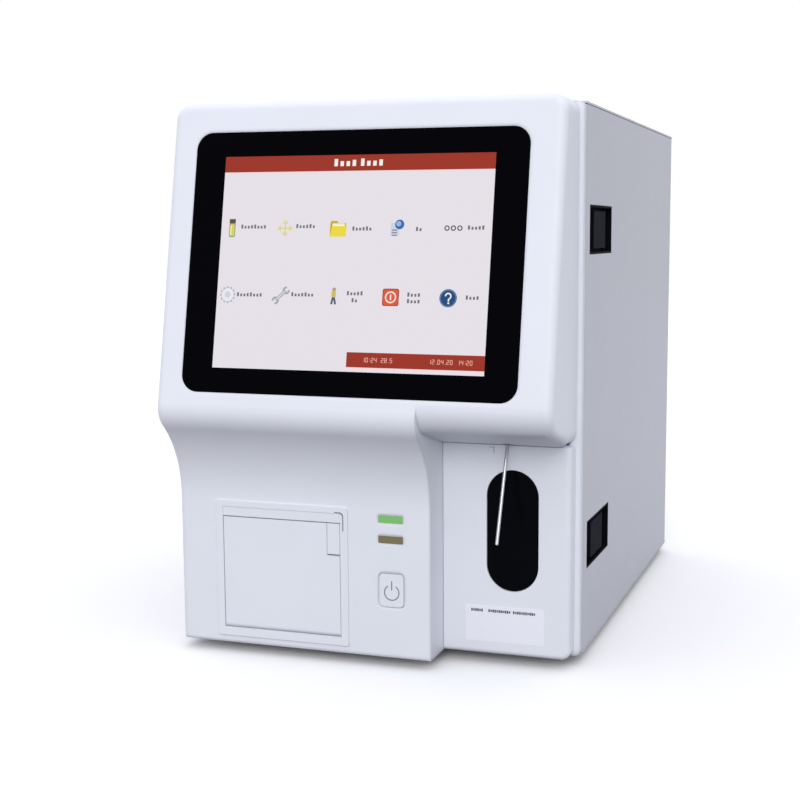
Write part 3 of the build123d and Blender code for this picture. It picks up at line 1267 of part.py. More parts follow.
def nodes():
    """Every piece by its name."""
    made = {}
    for piece in (
        front_shell, bay_panel, start_plate, start_switch, screen_glass, display_module,
        power_button, button_board, probe_needle, probe_carriage, lift_frame, guide_bars,
        lift_screw, lift_motor, rinse_block, printer_bezel, tear_bar, printer_door, printer_pin,
        printer_latch, platen_roller, paper_tray, print_head, base_pan, top_left_cover, rear_panel,
        case_screws, feet, middle_wall, side_door, door_pins, fan_frame, fan_rotor, mains_inlet,
        switch_frame, switch_rocker, reagent_fittings, data_ports, ground_stud, bath_shelf,
        syringe_frame, syringe_barrels, syringe_plungers, syringe_guide, syringe_screw,
        syringe_motor, valve_bank, pump_housing, pump_rotor, waste_chamber, main_board,
        power_supply,
    ):
        made[piece.__name__] = piece()
    made["ready_lamp"] = lamp(READY_LAMP_Z)
    made["alarm_lamp"] = lamp(ALARM_LAMP_Z)
    for name, z in PULL_CENTRES.items():
        made[name + "_pull_frame"] = pull_frame(z)
        made[name + "_pull"] = pull_paddle(z)
    for name, y in BATH_Y.items():
        made[name + "_cell_bath"] = bath(y)
    return made


def main():
    os.makedirs("parts", exist_ok=True)
    for name, shape in nodes().items():
        export_step(Pos(0, MOVED_BACK, 0) * as_part(shape), f"parts/{name}.step")


if __name__ == "__main__":
    main()
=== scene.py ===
from math import cos, pi, radians, sin

import bpy
import numpy as np
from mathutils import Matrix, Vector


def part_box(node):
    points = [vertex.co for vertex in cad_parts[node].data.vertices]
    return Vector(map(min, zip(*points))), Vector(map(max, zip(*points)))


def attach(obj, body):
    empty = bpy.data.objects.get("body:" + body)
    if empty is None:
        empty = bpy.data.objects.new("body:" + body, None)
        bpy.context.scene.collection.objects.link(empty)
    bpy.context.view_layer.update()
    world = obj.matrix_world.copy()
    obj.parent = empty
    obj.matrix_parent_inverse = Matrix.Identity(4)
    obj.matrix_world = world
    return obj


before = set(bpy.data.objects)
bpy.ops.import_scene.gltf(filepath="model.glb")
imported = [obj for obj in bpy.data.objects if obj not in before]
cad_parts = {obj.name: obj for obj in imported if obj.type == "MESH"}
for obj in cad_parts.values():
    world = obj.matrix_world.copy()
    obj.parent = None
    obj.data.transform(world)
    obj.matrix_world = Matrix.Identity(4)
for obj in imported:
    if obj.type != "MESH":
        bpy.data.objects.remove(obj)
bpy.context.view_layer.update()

# Bench-top blood cell analyzer. Metres, +Z up, front towards -Y, +X to the right seen from the front.

MM = 0.001


def low(node):
    """The corner of a node's box with the smallest coordinates."""
    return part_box(node)[0]


def high(node):
    """The corner of a node's box with the largest coordinates."""
    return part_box(node)[1]


def middle(node):
    """Half the sum of the two corners of a node's box."""
    return (low(node) + high(node)) / 2


# Camera, fitted to the edges of the case

FLANGE_THICK = 4 * MM
FLANGE_Y = high("front_shell").y - FLANGE_THICK
CAMERA_X = 373.0 * MM
CAMERA_BEFORE = 953.3 * MM
CAMERA_Z = 326.2 * MM
CAMERA_TURN = 17.13
CAMERA_DOWN = 7.19
CAMERA_LENS = 59.96
CAMERA_SHIFT = -0.1
SENSOR_WIDTH = 36
CLIP_START = 10 * MM


def make_camera():
    """A camera at the photograph's viewing angle."""
    data = bpy.data.cameras.new("camera")
    data.lens = CAMERA_LENS
    data.sensor_width = SENSOR_WIDTH
    data.shift_x = CAMERA_SHIFT
    data.clip_start = CLIP_START
    camera = bpy.data.objects.new("camera", data)
    camera.location = (CAMERA_X, FLANGE_Y - CAMERA_BEFORE, CAMERA_Z)
    camera.rotation_euler = (radians(90 - CAMERA_DOWN), 0, radians(CAMERA_TURN))
    bpy.context.scene.collection.objects.link(camera)
    bpy.context.scene.camera = camera


# Shader helpers

def linear(colour):
    """Screen values from 0 to 255, changed to linear light."""
    c = np.array(colour, float) / 255
    out = np.where(c <= 0.04045, c / 12.92, ((c + 0.055) / 1.055) ** 2.4)
    return (*out.tolist(), 1.0)


class Wire:
    """A socket that adds Math nodes when it is used in an expression."""

    def __init__(self, finish, socket):
        self.finish = finish
        self.socket = socket

    def math(self, operation, *values):
        inputs = dict(enumerate(values))
        return self.finish.node("ShaderNodeMath", {"operation": operation}, inputs)

    def __add__(self, other):
        return self.math("ADD", self, other)

    def __radd__(self, other):
        return self.math("ADD", other, self)

    def __mul__(self, other):
        return self.math("MULTIPLY", self, other)

    def __rmul__(self, other):
        return self.math("MULTIPLY", other, self)


class Finish:
    """One material: its main shader, and the nodes that vary it over the surface."""

    def __init__(self, name, colour, roughness, **constants):
        self.material = bpy.data.materials.new(name)
        self.material.use_nodes = True
        self.tree = self.material.node_tree
        self.tree.nodes.clear()
        self.out = self.tree.nodes.new("ShaderNodeOutputMaterial")
        self.shader = self.tree.nodes.new("ShaderNodeBsdfPrincipled")
        self.tree.links.new(self.shader.outputs[0], self.out.inputs["Surface"])
        self.colour = linear(colour)
        self.shader.inputs["Base Color"].default_value = self.colour
        self.shader.inputs["Roughness"].default_value = roughness
        for key, value in constants.items():
            self.shader.inputs[key.replace("_", " ")].default_value = value

    def node(self, kind, settings, inputs, output=0):
        """Adds a node with its settings, then links or sets its inputs."""
        made = self.tree.nodes.new(kind)
        for key, value in settings.items():
            setattr(made, key, value)
        for key, value in inputs.items():
            if isinstance(value, Wire):
                self.tree.links.new(value.socket, made.inputs[key])
            else:
                made.inputs[key].default_value = value
        return Wire(self, made.outputs[output])

    def set(self, socket, value):
        """Links a varying value to a socket of the main shader."""
        self.tree.links.new(value.socket, self.shader.inputs[socket])

    def place(self, turn=(0, 0, 0), stretch=(1, 1, 1)):
        """Object coordinates, turned and stretched."""
        where = self.node("ShaderNodeTexCoord", {}, {}, "Object")
        return self.node("ShaderNodeMapping", {}, {"Vector": where, "Rotation": turn, "Scale": stretch})

    def noise(self, size, detail=2.0, turn=(0, 0, 0), stretch=(1, 1, 1)):
        """Soft noise between 0 and 1 with features of the given size in metres."""
        where = self.place(turn, stretch)
        return self.node("ShaderNodeTexNoise", {}, {"Vector": where, "Scale": 1 / size, "Detail": detail})

    def shade(self, amount, factor):
        """The base colour, darker by amount where factor is 1."""
        dark = tuple(c * (1 - amount) for c in self.colour[:3]) + (1.0,)
        return self.mix(factor, self.colour, dark)

    def mix(self, factor, first, second):
        """The first colour where factor is 0, the second where it is 1."""
        return self.node("ShaderNodeMix", {"data_type": "RGBA"}, {0: factor, 6: first, 7: second}, 2)

    def relief(self, depth, height, edge=0.0):
        """Bumps of the given depth in metres, over edges that are softened by the given radius."""
        inputs = {"Height": height, "Distance": depth, "Strength": 1.0}
        if edge:
            inputs["Normal"] = self.node("ShaderNodeBevel", {"samples": 4}, {"Radius": edge})
        self.set("Normal", self.node("ShaderNodeBump", {}, inputs))


# Finishes

GRAIN_SIZE = 0.35 * MM
THREAD_PITCH = 2 * MM


def moulded(name, colour, roughness, depth=0.012 * MM, edge=0.7 * MM, **constants):
    """Injection moulding: a fine even grain, slightly uneven gloss and a very faint drift of tone."""
    made = Finish(name, colour, roughness, **constants)
    made.set("Base Color", made.shade(0.05, made.noise(60 * MM)))
    made.set("Roughness", roughness - 0.05 + made.noise(9 * MM) * 0.1)
    made.relief(depth, made.noise(GRAIN_SIZE, 1.0), edge)
    return made.material


def powder_coat(name, colour):
    """Baked powder on sheet metal: a shallow orange-peel under an even satin gloss."""
    made = Finish(name, colour, 0.4, Specular_IOR_Level=0.2)
    peel = made.noise(1.6 * MM, 2.0) * 0.7 + made.noise(0.5 * MM, 1.0) * 0.3
    made.set("Base Color", made.shade(0.04, made.noise(80 * MM)))
    made.set("Roughness", 0.36 + made.noise(7 * MM) * 0.1)
    made.relief(0.025 * MM, peel, 0.5 * MM)
    return made.material


def polished(name, colour, roughness, **constants):
    """Smooth moulding or ink-backed glass with a few faint wipe marks in its gloss."""
    made = Finish(name, colour, roughness, **constants)
    wipes = made.noise(22 * MM, 4.0, stretch=(1, 1, 2.5))
    made.set("Base Color", made.shade(0.3, made.noise(50 * MM)))
    made.set("Roughness", roughness + wipes * roughness)
    return made.material


def lens(name, colour, glow):
    """Diffusing lamp lens: fine vertical prisms behind a smooth face, lit softly from within."""
    made = Finish(name, colour, 0.22, Emission_Strength=glow)
    inputs = {"Vector": made.place(), "Scale": 130.0}
    prisms = made.node("ShaderNodeTexWave", {"bands_direction": "X"}, inputs)
    lit = made.shade(0.1, prisms)
    made.set("Base Color", lit)
    made.set("Emission Color", lit)
    return made.material


def brushed(name, colour, roughness, turn=(0, 0, 0), stretch=(1, 1, 14)):
    """Rolled or ground metal: long fine scratches one way, seen in tone, gloss and relief."""
    made = Finish(name, colour, roughness, Metallic=1.0)
    scratches = made.noise(3 * MM, 4.0, turn, stretch)
    made.set("Base Color", made.shade(0.16, scratches))
    made.set("Roughness", roughness - 0.08 + scratches * 0.16)
    made.relief(0.01 * MM, scratches, 0.3 * MM)
    return made.material


def plated(name, colour):
    """Zinc-plated sheet: pale crystal patches and a fine mottled gloss."""
    made = Finish(name, colour, 0.34, Metallic=0.9)
    where = made.place()
    patches = made.node("ShaderNodeTexVoronoi", {}, {"Vector": where, "Scale": 140.0}, "Color")
    level = made.node("ShaderNodeSeparateColor", {}, {"Color": patches})
    made.set("Base Color", made.shade(0.2, level))
    made.set("Roughness", 0.28 + level * 0.14)
    made.relief(0.01 * MM, made.noise(0.8 * MM), 0.4 * MM)
    return made.material


def threaded(name, colour, turn=(0, 0, 0)):
    """Rolled leadscrew: even threads along the bar, one wave for each pitch, with painted shade darkening
    each thread groove.
    """
    made = Finish(name, colour, 0.25, Metallic=1.0)
    inputs = {"Vector": made.place(turn), "Scale": pi / 10 / THREAD_PITCH}
    rings = made.node("ShaderNodeTexWave", {"bands_direction": "Z"}, inputs)
    # Painted shade: the colour darkens in each groove of the thread wave.
    made.set("Base Color", made.shade(0.45, rings))
    made.relief(0.4 * MM, rings)
    return made.material


def rubber(name, colour):
    """Matt rubber: mottled tone and a fine even relief."""
    made = Finish(name, colour, 0.75)
    made.set("Base Color", made.shade(0.25, made.noise(4 * MM, 4.0)))
    made.set("Roughness", 0.68 + made.noise(2 * MM) * 0.2)
    made.relief(0.03 * MM, made.noise(0.5 * MM), 0.5 * MM)
    return made.material


def circuit(name):
    """Green lacquered board with copper runs."""
    made = Finish(name, (36, 98, 62), 0.38)
    where = made.place(turn=(0, radians(90), 0))
    inputs = {"Vector": where, "Scale": 160.0, "Mortar Size": 0.035}
    inputs.update({"Color1": (0, 0, 0, 1), "Color2": (0, 0, 0, 1), "Mortar": (1, 1, 1, 1)})
    grid = made.node("ShaderNodeTexBrick", {"offset": 0.35}, inputs)
    runs = made.node("ShaderNodeSeparateColor", {}, {"Color": grid})
    made.set("Base Color", made.mix(runs * 0.6, made.colour, linear((120, 150, 90))))
    made.set("Roughness", 0.34 + made.noise(3 * MM) * 0.12)
    made.relief(0.05 * MM, runs)
    return made.material


def clear(name, colour):
    """Milky clear acrylic with turned marks."""
    made = Finish(name, colour, 0.18, Transmission_Weight=0.55, IOR=1.49)
    made.set("Base Color", made.shade(0.06, made.noise(12 * MM)))
    made.set("Roughness", 0.12 + made.noise(5 * MM) * 0.14)
    return made.material


def lit_picture(name):
    """What the panel shows, its colours taken from the mesh, with the glass's own gloss over it."""
    made = Finish(name, (20, 20, 20), 0.12, Emission_Strength=0.86, Specular_IOR_Level=0.1)
    tint = made.node("ShaderNodeAttribute", {"attribute_name": "tint"}, {}, "Color")
    made.set("Emission Color", tint)
    made.set("Base Color", made.mix(0.86, tint, (0, 0, 0, 1)))
    made.set("Roughness", 0.1 + made.noise(22 * MM, 4.0) * 0.06)
    return made.material


PROBE_LEAN = (radians(22), 0, 0)
SHELL = (230, 233, 241)
CASE = (195, 197, 207)
CORNER_ROUND = 4.0 * MM


def make_finishes():
    """Every finish of the CAD nodes, under the names that the next table uses."""
    return {
        "front": moulded("front shell moulding", SHELL, 0.4, edge=CORNER_ROUND, Specular_IOR_Level=0.3),
        "shell": moulded("shell moulding", SHELL, 0.4, Specular_IOR_Level=0.3),
        "case": powder_coat("case powder coat", CASE),
        "glass": polished("black-backed glass", (3, 3, 7), 0.06, Specular_IOR_Level=0.02),
        "key": polished("polished black key", (6, 7, 12), 0.12, Specular_IOR_Level=0.02),
        "black": moulded("black moulding", (16, 16, 23), 0.55, edge=0.4 * MM, Specular_IOR_Level=0.01),
        "navy": moulded("dark handle moulding", (21, 21, 33), 0.5, edge=0.4 * MM, Specular_IOR_Level=0.005),
        "ready": lens("green lens", (104, 168, 92), 0.34),
        "alarm": lens("smoked amber lens", (118, 108, 72), 0.0),
        "plated": plated("zinc-plated sheet", (176, 180, 186)),
        "steel": brushed("ground steel", (206, 208, 212), 0.2),
        "needle": brushed("needle steel", (184, 185, 190), 0.28, PROBE_LEAN, (3, 3, 0.3)),
        "milled": brushed("milled aluminium", (196, 199, 204), 0.34, stretch=(1, 12, 1)),
        "lift thread": threaded("lift screw thread", (170, 172, 176), PROBE_LEAN),
        "syringe thread": threaded("syringe screw thread", (170, 172, 176)),
        "can": moulded("painted motor can", (66, 69, 76), 0.4, depth=0.02 * MM),
        "rubber": rubber("moulded rubber", (26, 26, 28)),
        "circuit": circuit("circuit board"),
        "clear": clear("clear acrylic", (214, 224, 230)),
        "grey": moulded("grey moulding", (120, 124, 132), 0.45),
    }


NODE_FINISH = {
    "front": ("front_shell",),
    "shell": ("bay_panel", "power_button", "printer_bezel", "tear_bar", "printer_door", "printer_latch"),
    "case": ("top_left_cover", "rear_panel", "side_door", "base_pan"),
    "glass": ("screen_glass",),
    "key": ("start_plate", "switch_rocker"),
    "black": ("upper_pull_frame", "lower_pull_frame", "paper_tray", "fan_frame", "fan_rotor", "mains_inlet",
              "switch_frame"),
    "navy": ("upper_pull", "lower_pull"),
    "ready": ("ready_lamp",),
    "alarm": ("alarm_lamp",),
    "plated": ("display_module", "middle_wall", "lift_frame", "bath_shelf", "power_supply", "data_ports"),
    "steel": ("guide_bars", "syringe_guide", "door_pins", "printer_pin", "case_screws", "ground_stud",
              "reagent_fittings"),
    "needle": ("probe_needle",),
    "milled": ("probe_carriage", "print_head", "syringe_frame", "syringe_plungers"),
    "lift thread": ("lift_screw",),
    "syringe thread": ("syringe_screw",),
    "can": ("lift_motor", "syringe_motor", "valve_bank", "pump_housing"),
    "rubber": ("feet", "platen_roller"),
    "circuit": ("button_board", "start_switch", "main_board"),
    "clear": ("rinse_block", "syringe_barrels", "waste_chamber", "white_cell_bath", "red_cell_bath"),
    "grey": ("pump_rotor",),
}


def dress_nodes(finishes):
    """Gives every CAD node its finish."""
    for finish, names in NODE_FINISH.items():
        for name in names:
            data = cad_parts[name].data
            data.materials.clear()
            data.materials.append(finishes[finish])


# Flat shapes

def circle(radius, count=32, start=0.0, sweep=360.0):
    """Points at even angles: x is radius times cosine, y is radius times sine."""
    closed = sweep >= 360
    angle = np.radians(start + np.linspace(0, sweep, count, endpoint=not closed))
    return radius * np.stack([np.cos(angle), np.sin(angle)], 1)


def oblong(width, height, corner=0.0, count=6):
    """Quarter circles about the four corner centres, joined by straight sides."""
    if not corner:
        return np.array([[1, 1], [-1, 1], [-1, -1], [1, -1]]) * [width / 2, height / 2]
    angle = np.radians(np.arange(4)[:, None] * 90 + np.linspace(0, 90, count)[None, :])
    centre = np.array([[1, 1], [-1, 1], [-1, -1], [1, -1]]) * [width / 2 - corner, height / 2 - corner]
    points = centre[:, None, :] + corner * np.stack([np.cos(angle), np.sin(angle)], 2)
    return points.reshape(-1, 2)


def cogwheel(radius, teeth, depth):
    """A circle whose radius steps in and out once for each tooth."""
    angle = np.linspace(0, 2 * pi, teeth * 4, endpoint=False)
    step = np.tile([0, 0, 1, 1], teeth)
    return (radius - depth * step)[:, None] * np.stack([np.cos(angle), np.sin(angle)], 1)


def turned(points, degrees):
    """x times cosine less y times sine, and x times sine plus y times cosine."""
    c, s = cos(radians(degrees)), sin(radians(degrees))
    return points @ np.array([[c, s], [-s, c]])


class Inlay:
    """Thin closed plates on one flat face, each with its own colour, gathered into one mesh."""

    def __init__(self, origin, right, up):
        self.origin = np.array(origin, float)
        self.right = np.array(right, float)
        self.up = np.array(up, float)
        self.out = np.cross(self.right, self.up)
        self.points = []
        self.faces = []
        self.tints = []
        self.count = 0

    def add(self, flat, heights, faces, colour):
        """Places flat points at heights: origin + x times right + y times up + height times outward."""
        flat = np.asarray(flat) * MM
        spot = self.origin + flat[:, :1] * self.right + flat[:, 1:] * self.up
        self.points.append(spot + np.asarray(heights)[:, None] * MM * self.out)
        self.faces += [[self.count + i for i in face] for face in faces]
        self.tints += [linear(colour)] * len(faces)
        self.count += len(flat)

    def plate(self, outline, at, colour, top):
        """A filled outline, counted anticlockwise, drawn out to the given height."""
        n = len(outline)
        flat = np.concatenate([outline, outline]) + at
        heights = np.repeat([0, top], n)
        sides = [[i, (i + 1) % n, n + (i + 1) % n, n + i] for i in range(n)]
        self.add(flat, heights, sides + [list(range(n, 2 * n)), list(range(n - 1, -1, -1))], colour)

    def band(self, outer, inner, at, colour, top, closed=True):
        """The strip between two outlines with as many points, drawn out to the given height."""
        n = len(outer)
        flat = np.concatenate([outer, inner, outer, inner]) + at
        heights = np.repeat([0, 0, top, top], n)
        faces = []
        for i in range(n if closed else n - 1):
            j = (i + 1) % n
            faces += [[2 * n + i, 2 * n + j, 3 * n + j, 3 * n + i], [j, i, n + i, n + j],
                      [i, j, 2 * n + j, 2 * n + i], [n + j, n + i, 3 * n + i, 3 * n + j]]
        if not closed:
            k = n - 1
            faces += [[0, 2 * n, 3 * n, n], [k, n + k, 3 * n + k, 2 * n + k]]
        self.add(flat, heights, faces, colour)

    def make(self, name, finish, body):
        """Turns what was added into one piece, with the colours as a face attribute."""
        mesh = bpy.data.meshes.new(name)
        mesh.from_pydata(np.concatenate(self.points).tolist(), [], self.faces)
        tint = mesh.attributes.new("tint", "FLOAT_COLOR", "FACE")
        tint.data.foreach_set("color", np.array(self.tints, np.float32).ravel())
        mesh.materials.append(finish)
        piece = bpy.data.objects.new(name, mesh)
        bpy.context.scene.collection.objects.link(piece)
        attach(piece, body)


# What the screen shows, in millimetres from the middle of the lit panel

SCREEN_TILT = radians(10.85)
GLASS_THICK = 1.8 * MM
LIT_WIDTH = 211.2
LIT_HEIGHT = 158.4
LIT_GROUND = (229, 224, 230)
BAND_RED = (156, 52, 38)
BAND_LIGHT = (246, 214, 210)
WORD_GREY = (116, 112, 122)
WORD_STEPS = (1.0, 0.68, 0.68, 0.84)
WORD_PITCH = 0.88
WORD_FILL = 0.5
FIGURE_HEIGHT = 3.0
FIGURE_WIDTH = FIGURE_HEIGHT * 0.5
FIGURE_STROKE = FIGURE_HEIGHT * 0.14
FIGURE_UP = 0.15
CLOCK = (("10:24", 14.6), ("28.5", 29.0), ("12.04.20", 65.0), ("14:20", 86.4))
CLOCK_TINT = (236, 176, 160)
CLOCK_Y = -70.3
GROUND_UP = 0.03
BAND_UP = 0.07
BAND_EDGE = 0.8
TOP_BAND = 11.8
LOW_BAND = 10.8
LOW_BAND_LEFT = 1.4
LOW_BAND_RISE = 3.4
TITLE_X = 1.6
TITLE_Y = 73.6
TITLE_SPLIT = 10.4
TITLE_HEIGHT = 5.4
TITLE_WHITE = (250, 238, 234)
UPPER_ROW = 25.2
LOWER_ROW = -24.6

SEGMENTS = {
    "0": "abcdef", "1": "bc", "2": "abged", "4": "fgbc", "5": "afgcd", "8": "abcdefg",
}


def figure_bars():
    """Middle and size of the seven bars of a figure."""
    width, stroke = FIGURE_WIDTH, FIGURE_STROKE
    x, y = FIGURE_WIDTH / 2, FIGURE_HEIGHT / 2
    return {
        "a": ((0, y), (width, stroke)), "g": ((0, 0), (width, stroke)), "d": ((0, -y), (width, stroke)),
        "b": ((x, y / 2), (stroke, y)), "c": ((x, -y / 2), (stroke, y)),
        "e": ((-x, -y / 2), (stroke, y)), "f": ((-x, y / 2), (stroke, y)),
    }


def numbers(inlay, text, x, y, colour):
    """Plain figures of seven bars, side by side."""
    bars = figure_bars()
    for letter in text:
        if letter in ":.":
            for rise in (0.25, -0.25) if letter == ":" else (-0.5,):
                dot = oblong(FIGURE_STROKE, FIGURE_STROKE)
                inlay.plate(dot, (x, y + rise * FIGURE_HEIGHT), colour, FIGURE_UP)
        else:
            for segment in SEGMENTS[letter]:
                place, size = bars[segment]
                inlay.plate(oblong(*size), (x + place[0], y + place[1]), colour, FIGURE_UP)
        x += FIGURE_WIDTH * (1.1 if letter in ":." else 1.7)


def word(inlay, x, y, letters, colour=WORD_GREY, height=3.0):
    """A row of small plain blocks in the place of a word."""
    pitch, foot = height * WORD_PITCH, y - height / 2
    start = x - (letters - 1) * pitch / 2
    for i in range(letters):
        tall = height * WORD_STEPS[i % len(WORD_STEPS)]
        inlay.plate(oblong(height * WORD_FILL, tall), (start + i * pitch, foot + tall / 2), colour, 0.1)


def vial_icon(inlay, at):
    """A rounded vial with its fill, a dark cap and a pale streak."""
    inlay.plate(oblong(5.0, 13.4, 1.6), at, (150, 150, 120), 0.1)
    inlay.plate(oblong(3.8, 9.0, 1.2), (at[0], at[1] - 1.4), (214, 208, 96), 0.15)
    inlay.plate(oblong(5.0, 3.2, 0.6), (at[0], at[1] + 5.4), (92, 84, 60), 0.15)
    inlay.plate(oblong(0.9, 7.4, 0.4), (at[0] - 1.0, at[1] - 1.4), (240, 238, 190), 0.2)


def adjust_icon(inlay, at):
    """A cross of two bars with an arrow head at each end."""
    pale = (222, 212, 150)
    head = np.array([[-2.6, 0], [2.6, 0], [0, 2.8]])
    for angle in (0, 90, 180, 270):
        shift = turned(np.array([[0, 3.4]]), angle)[0]
        inlay.plate(turned(head, angle), np.array(at) + shift, pale, 0.1)
    inlay.plate(oblong(1.3, 7.4), at, pale, 0.12)
    inlay.plate(oblong(7.4, 1.3), at, pale, 0.14)


def folder_icon(inlay, at):
    """A tabbed back, a pale sheet and a slanted front."""
    back = np.array([[6.2, 4.4], [0.4, 4.4], [-1, 6], [-5.6, 6], [-6.2, 4.4], [-6.2, -5.2], [6.2, -5.2]])
    inlay.plate(back, at, (196, 174, 44), 0.1)
    inlay.plate(oblong(9.6, 6.2, 0.5), (at[0] + 0.4, at[1] + 1.0), (244, 240, 214), 0.13)
    inlay.plate(np.array([[7.2, 2.2], [-4.6, 2.2], [-6.2, -5.6], [5.6, -5.6]]), at, (236, 216, 66), 0.16)


def control_icon(inlay, at):
    """A sheet with three ruled lines, and a blue disc over its corner."""
    inlay.plate(oblong(6.4, 9.6, 0.6), (at[0] - 1.6, at[1] - 0.9), (206, 210, 222), 0.1)
    for row in range(3):
        inlay.plate(oblong(4.0, 0.8), (at[0] - 1.8, at[1] - 1.4 - row * 1.9), (120, 124, 142), 0.13)
    inlay.plate(circle(3.5), (at[0] + 1.9, at[1] + 2.7), (60, 104, 176), 0.16)
    inlay.plate(circle(1.9), (at[0] + 1.2, at[1] + 3.2), (150, 186, 228), 0.19)


def about_icon(inlay, at):
    """Three rings in a row."""
    for step in (-1, 0, 1):
        inlay.band(circle(2.0), circle(1.1), (at[0] + step * 4.8, at[1]), (92, 92, 98), 0.1)


def gear_icon(inlay, at):
    """A cogwheel with a pale ring and a grey middle."""
    inlay.plate(cogwheel(6.4, 12, 1.2), at, (176, 178, 186), 0.1)
    inlay.band(circle(5.0), circle(2.3), at, (232, 232, 238), 0.13)
    inlay.plate(circle(2.2), at, (210, 212, 220), 0.13)


def spanner_icon(inlay, at):
    """A slanted bar with an open ring at each end."""
    grey = (168, 168, 176)
    inlay.plate(turned(oblong(10.5, 2.4, 0.6), 42), at, grey, 0.1)
    inlay.plate(turned(oblong(9.6, 0.8, 0.3), 42), at, (222, 222, 230), 0.14)
    for side, start in ((1, 78), (-1, 258)):
        end = np.array([cos(radians(42)), sin(radians(42))]) * 5.6 * side
        outer, inner = (circle(radius, 20, start, 290) for radius in (2.9, 1.4))
        inlay.band(outer, inner, np.array(at) + end, grey, 0.12, closed=False)


def start_icon(inlay, at):
    """A round head, a body and two slanted legs."""
    inlay.plate(circle(1.5), (at[0] + 0.2, at[1] + 4.9), (196, 156, 110), 0.1)
    inlay.plate(oblong(3.4, 4.8, 1.2), (at[0], at[1] + 1.3), (206, 186, 104), 0.1)
    for side, tilt in ((-1, -12), (1, 14)):
        leg = turned(oblong(1.5, 5.4, 0.6), tilt)
        inlay.plate(leg, (at[0] + side, at[1] - 3.4), (84, 90, 110), 0.12)


def ring_and_bar(inlay, at, radius, stroke, colour, top):
    """A ring open at its top over 64 degrees, with an upright bar in the opening."""
    outer, inner = (circle(size, 40, 122, 296) for size in (radius, radius - stroke))
    inlay.band(outer, inner, at, colour, top, closed=False)
    inlay.plate(oblong(stroke, radius * 1.15, stroke * 0.4), (at[0], at[1] + radius * 0.86), colour, top)


def stop_icon(inlay, at):
    """A red rounded square with a ring and an upright bar."""
    inlay.plate(oblong(12.6, 12.6, 1.6), at, (176, 62, 44), 0.1)
    inlay.plate(oblong(11.2, 11.2, 1.2), at, (216, 92, 66), 0.13)
    inlay.band(circle(4.3), circle(3.3), at, (250, 226, 214), 0.17)
    inlay.plate(oblong(1.1, 4.2, 0.4), at, (250, 226, 214), 0.17)


def help_icon(inlay, at):
    """A dark blue disc with a hook, a short bar and a dot."""
    inlay.plate(circle(6.5, 40), at, (38, 74, 122), 0.1)
    inlay.band(circle(6.1, 40), circle(5.6, 40), at, (110, 146, 188), 0.13)
    white = (240, 244, 250)
    outer, inner = circle(2.5, 20, -70, 250), circle(1.5, 20, -70, 250)
    inlay.band(outer, inner, (at[0], at[1] + 1.4), white, 0.16, closed=False)
    inlay.plate(oblong(1.0, 1.9, 0.2), (at[0] + 0.35, at[1] - 1.5), white, 0.16)
    inlay.plate(circle(0.7, 12), (at[0] + 0.35, at[1] - 3.6), white, 0.16)


ICONS = (
    (vial_icon, -96.6, UPPER_ROW), (adjust_icon, -53.4, UPPER_ROW), (folder_icon, -11.4, UPPER_ROW - 0.6),
    (control_icon, 34.4, UPPER_ROW), (about_icon, 77.0, UPPER_ROW), (gear_icon, -96.8, LOWER_ROW),
    (spanner_icon, -53.6, LOWER_ROW), (start_icon, -11.6, LOWER_ROW), (stop_icon, 32.6, LOWER_ROW - 0.2),
    (help_icon, 76.0, LOWER_ROW - 0.2),
)
WORDS = (
    (-79.2, 26.5, 8), (-37.2, 26.8, 6), (7.3, 25.0, 6), (51.0, 24.6, 2), (93.8, 25.6, 5),
    (-79.1, -24.2, 8), (-36.4, -23.6, 7), (4.8, -22.2, 5), (4.8, -27.3, 2), (50.0, -22.6, 4),
    (50.0, -27.3, 4), (93.8, -24.1, 4),
)


def make_picture(finish):
    """The lit ground, its two bands, the clock, and the icons with their word blocks."""
    normal = np.array([0, -cos(SCREEN_TILT), sin(SCREEN_TILT)])
    face = np.array(middle("screen_glass")) + normal * GLASS_THICK / 2
    inlay = Inlay(face, (1, 0, 0), (0, sin(SCREEN_TILT), cos(SCREEN_TILT)))
    inlay.plate(oblong(LIT_WIDTH, LIT_HEIGHT), (0, 0), LIT_GROUND, GROUND_UP)
    inlay.plate(oblong(LIT_WIDTH, TOP_BAND), (0, (LIT_HEIGHT - TOP_BAND) / 2), BAND_RED, BAND_UP)
    under = LIT_HEIGHT / 2 - TOP_BAND - BAND_EDGE / 2
    inlay.plate(oblong(LIT_WIDTH, BAND_EDGE), (0, under), BAND_LIGHT, BAND_UP)
    width = LIT_WIDTH / 2 - LOW_BAND_LEFT
    middle_x, foot = LOW_BAND_LEFT + width / 2, LOW_BAND_RISE - LIT_HEIGHT / 2
    inlay.plate(oblong(width, LOW_BAND), (middle_x, foot + LOW_BAND / 2), BAND_RED, BAND_UP)
    inlay.plate(oblong(width, BAND_EDGE), (middle_x, foot - BAND_EDGE / 2), BAND_LIGHT, BAND_UP)
    word(inlay, TITLE_X - TITLE_SPLIT, TITLE_Y, 4, TITLE_WHITE, TITLE_HEIGHT)
    word(inlay, TITLE_X + TITLE_SPLIT, TITLE_Y, 4, TITLE_WHITE, TITLE_HEIGHT)
    for text, x in CLOCK:
        numbers(inlay, text, x, CLOCK_Y, CLOCK_TINT)
    for icon, x, y in ICONS:
        icon(inlay, (x, y))
    for x, y, letters in WORDS:
        word(inlay, x, y, letters)
    inlay.make("screen_picture", finish, "frame")
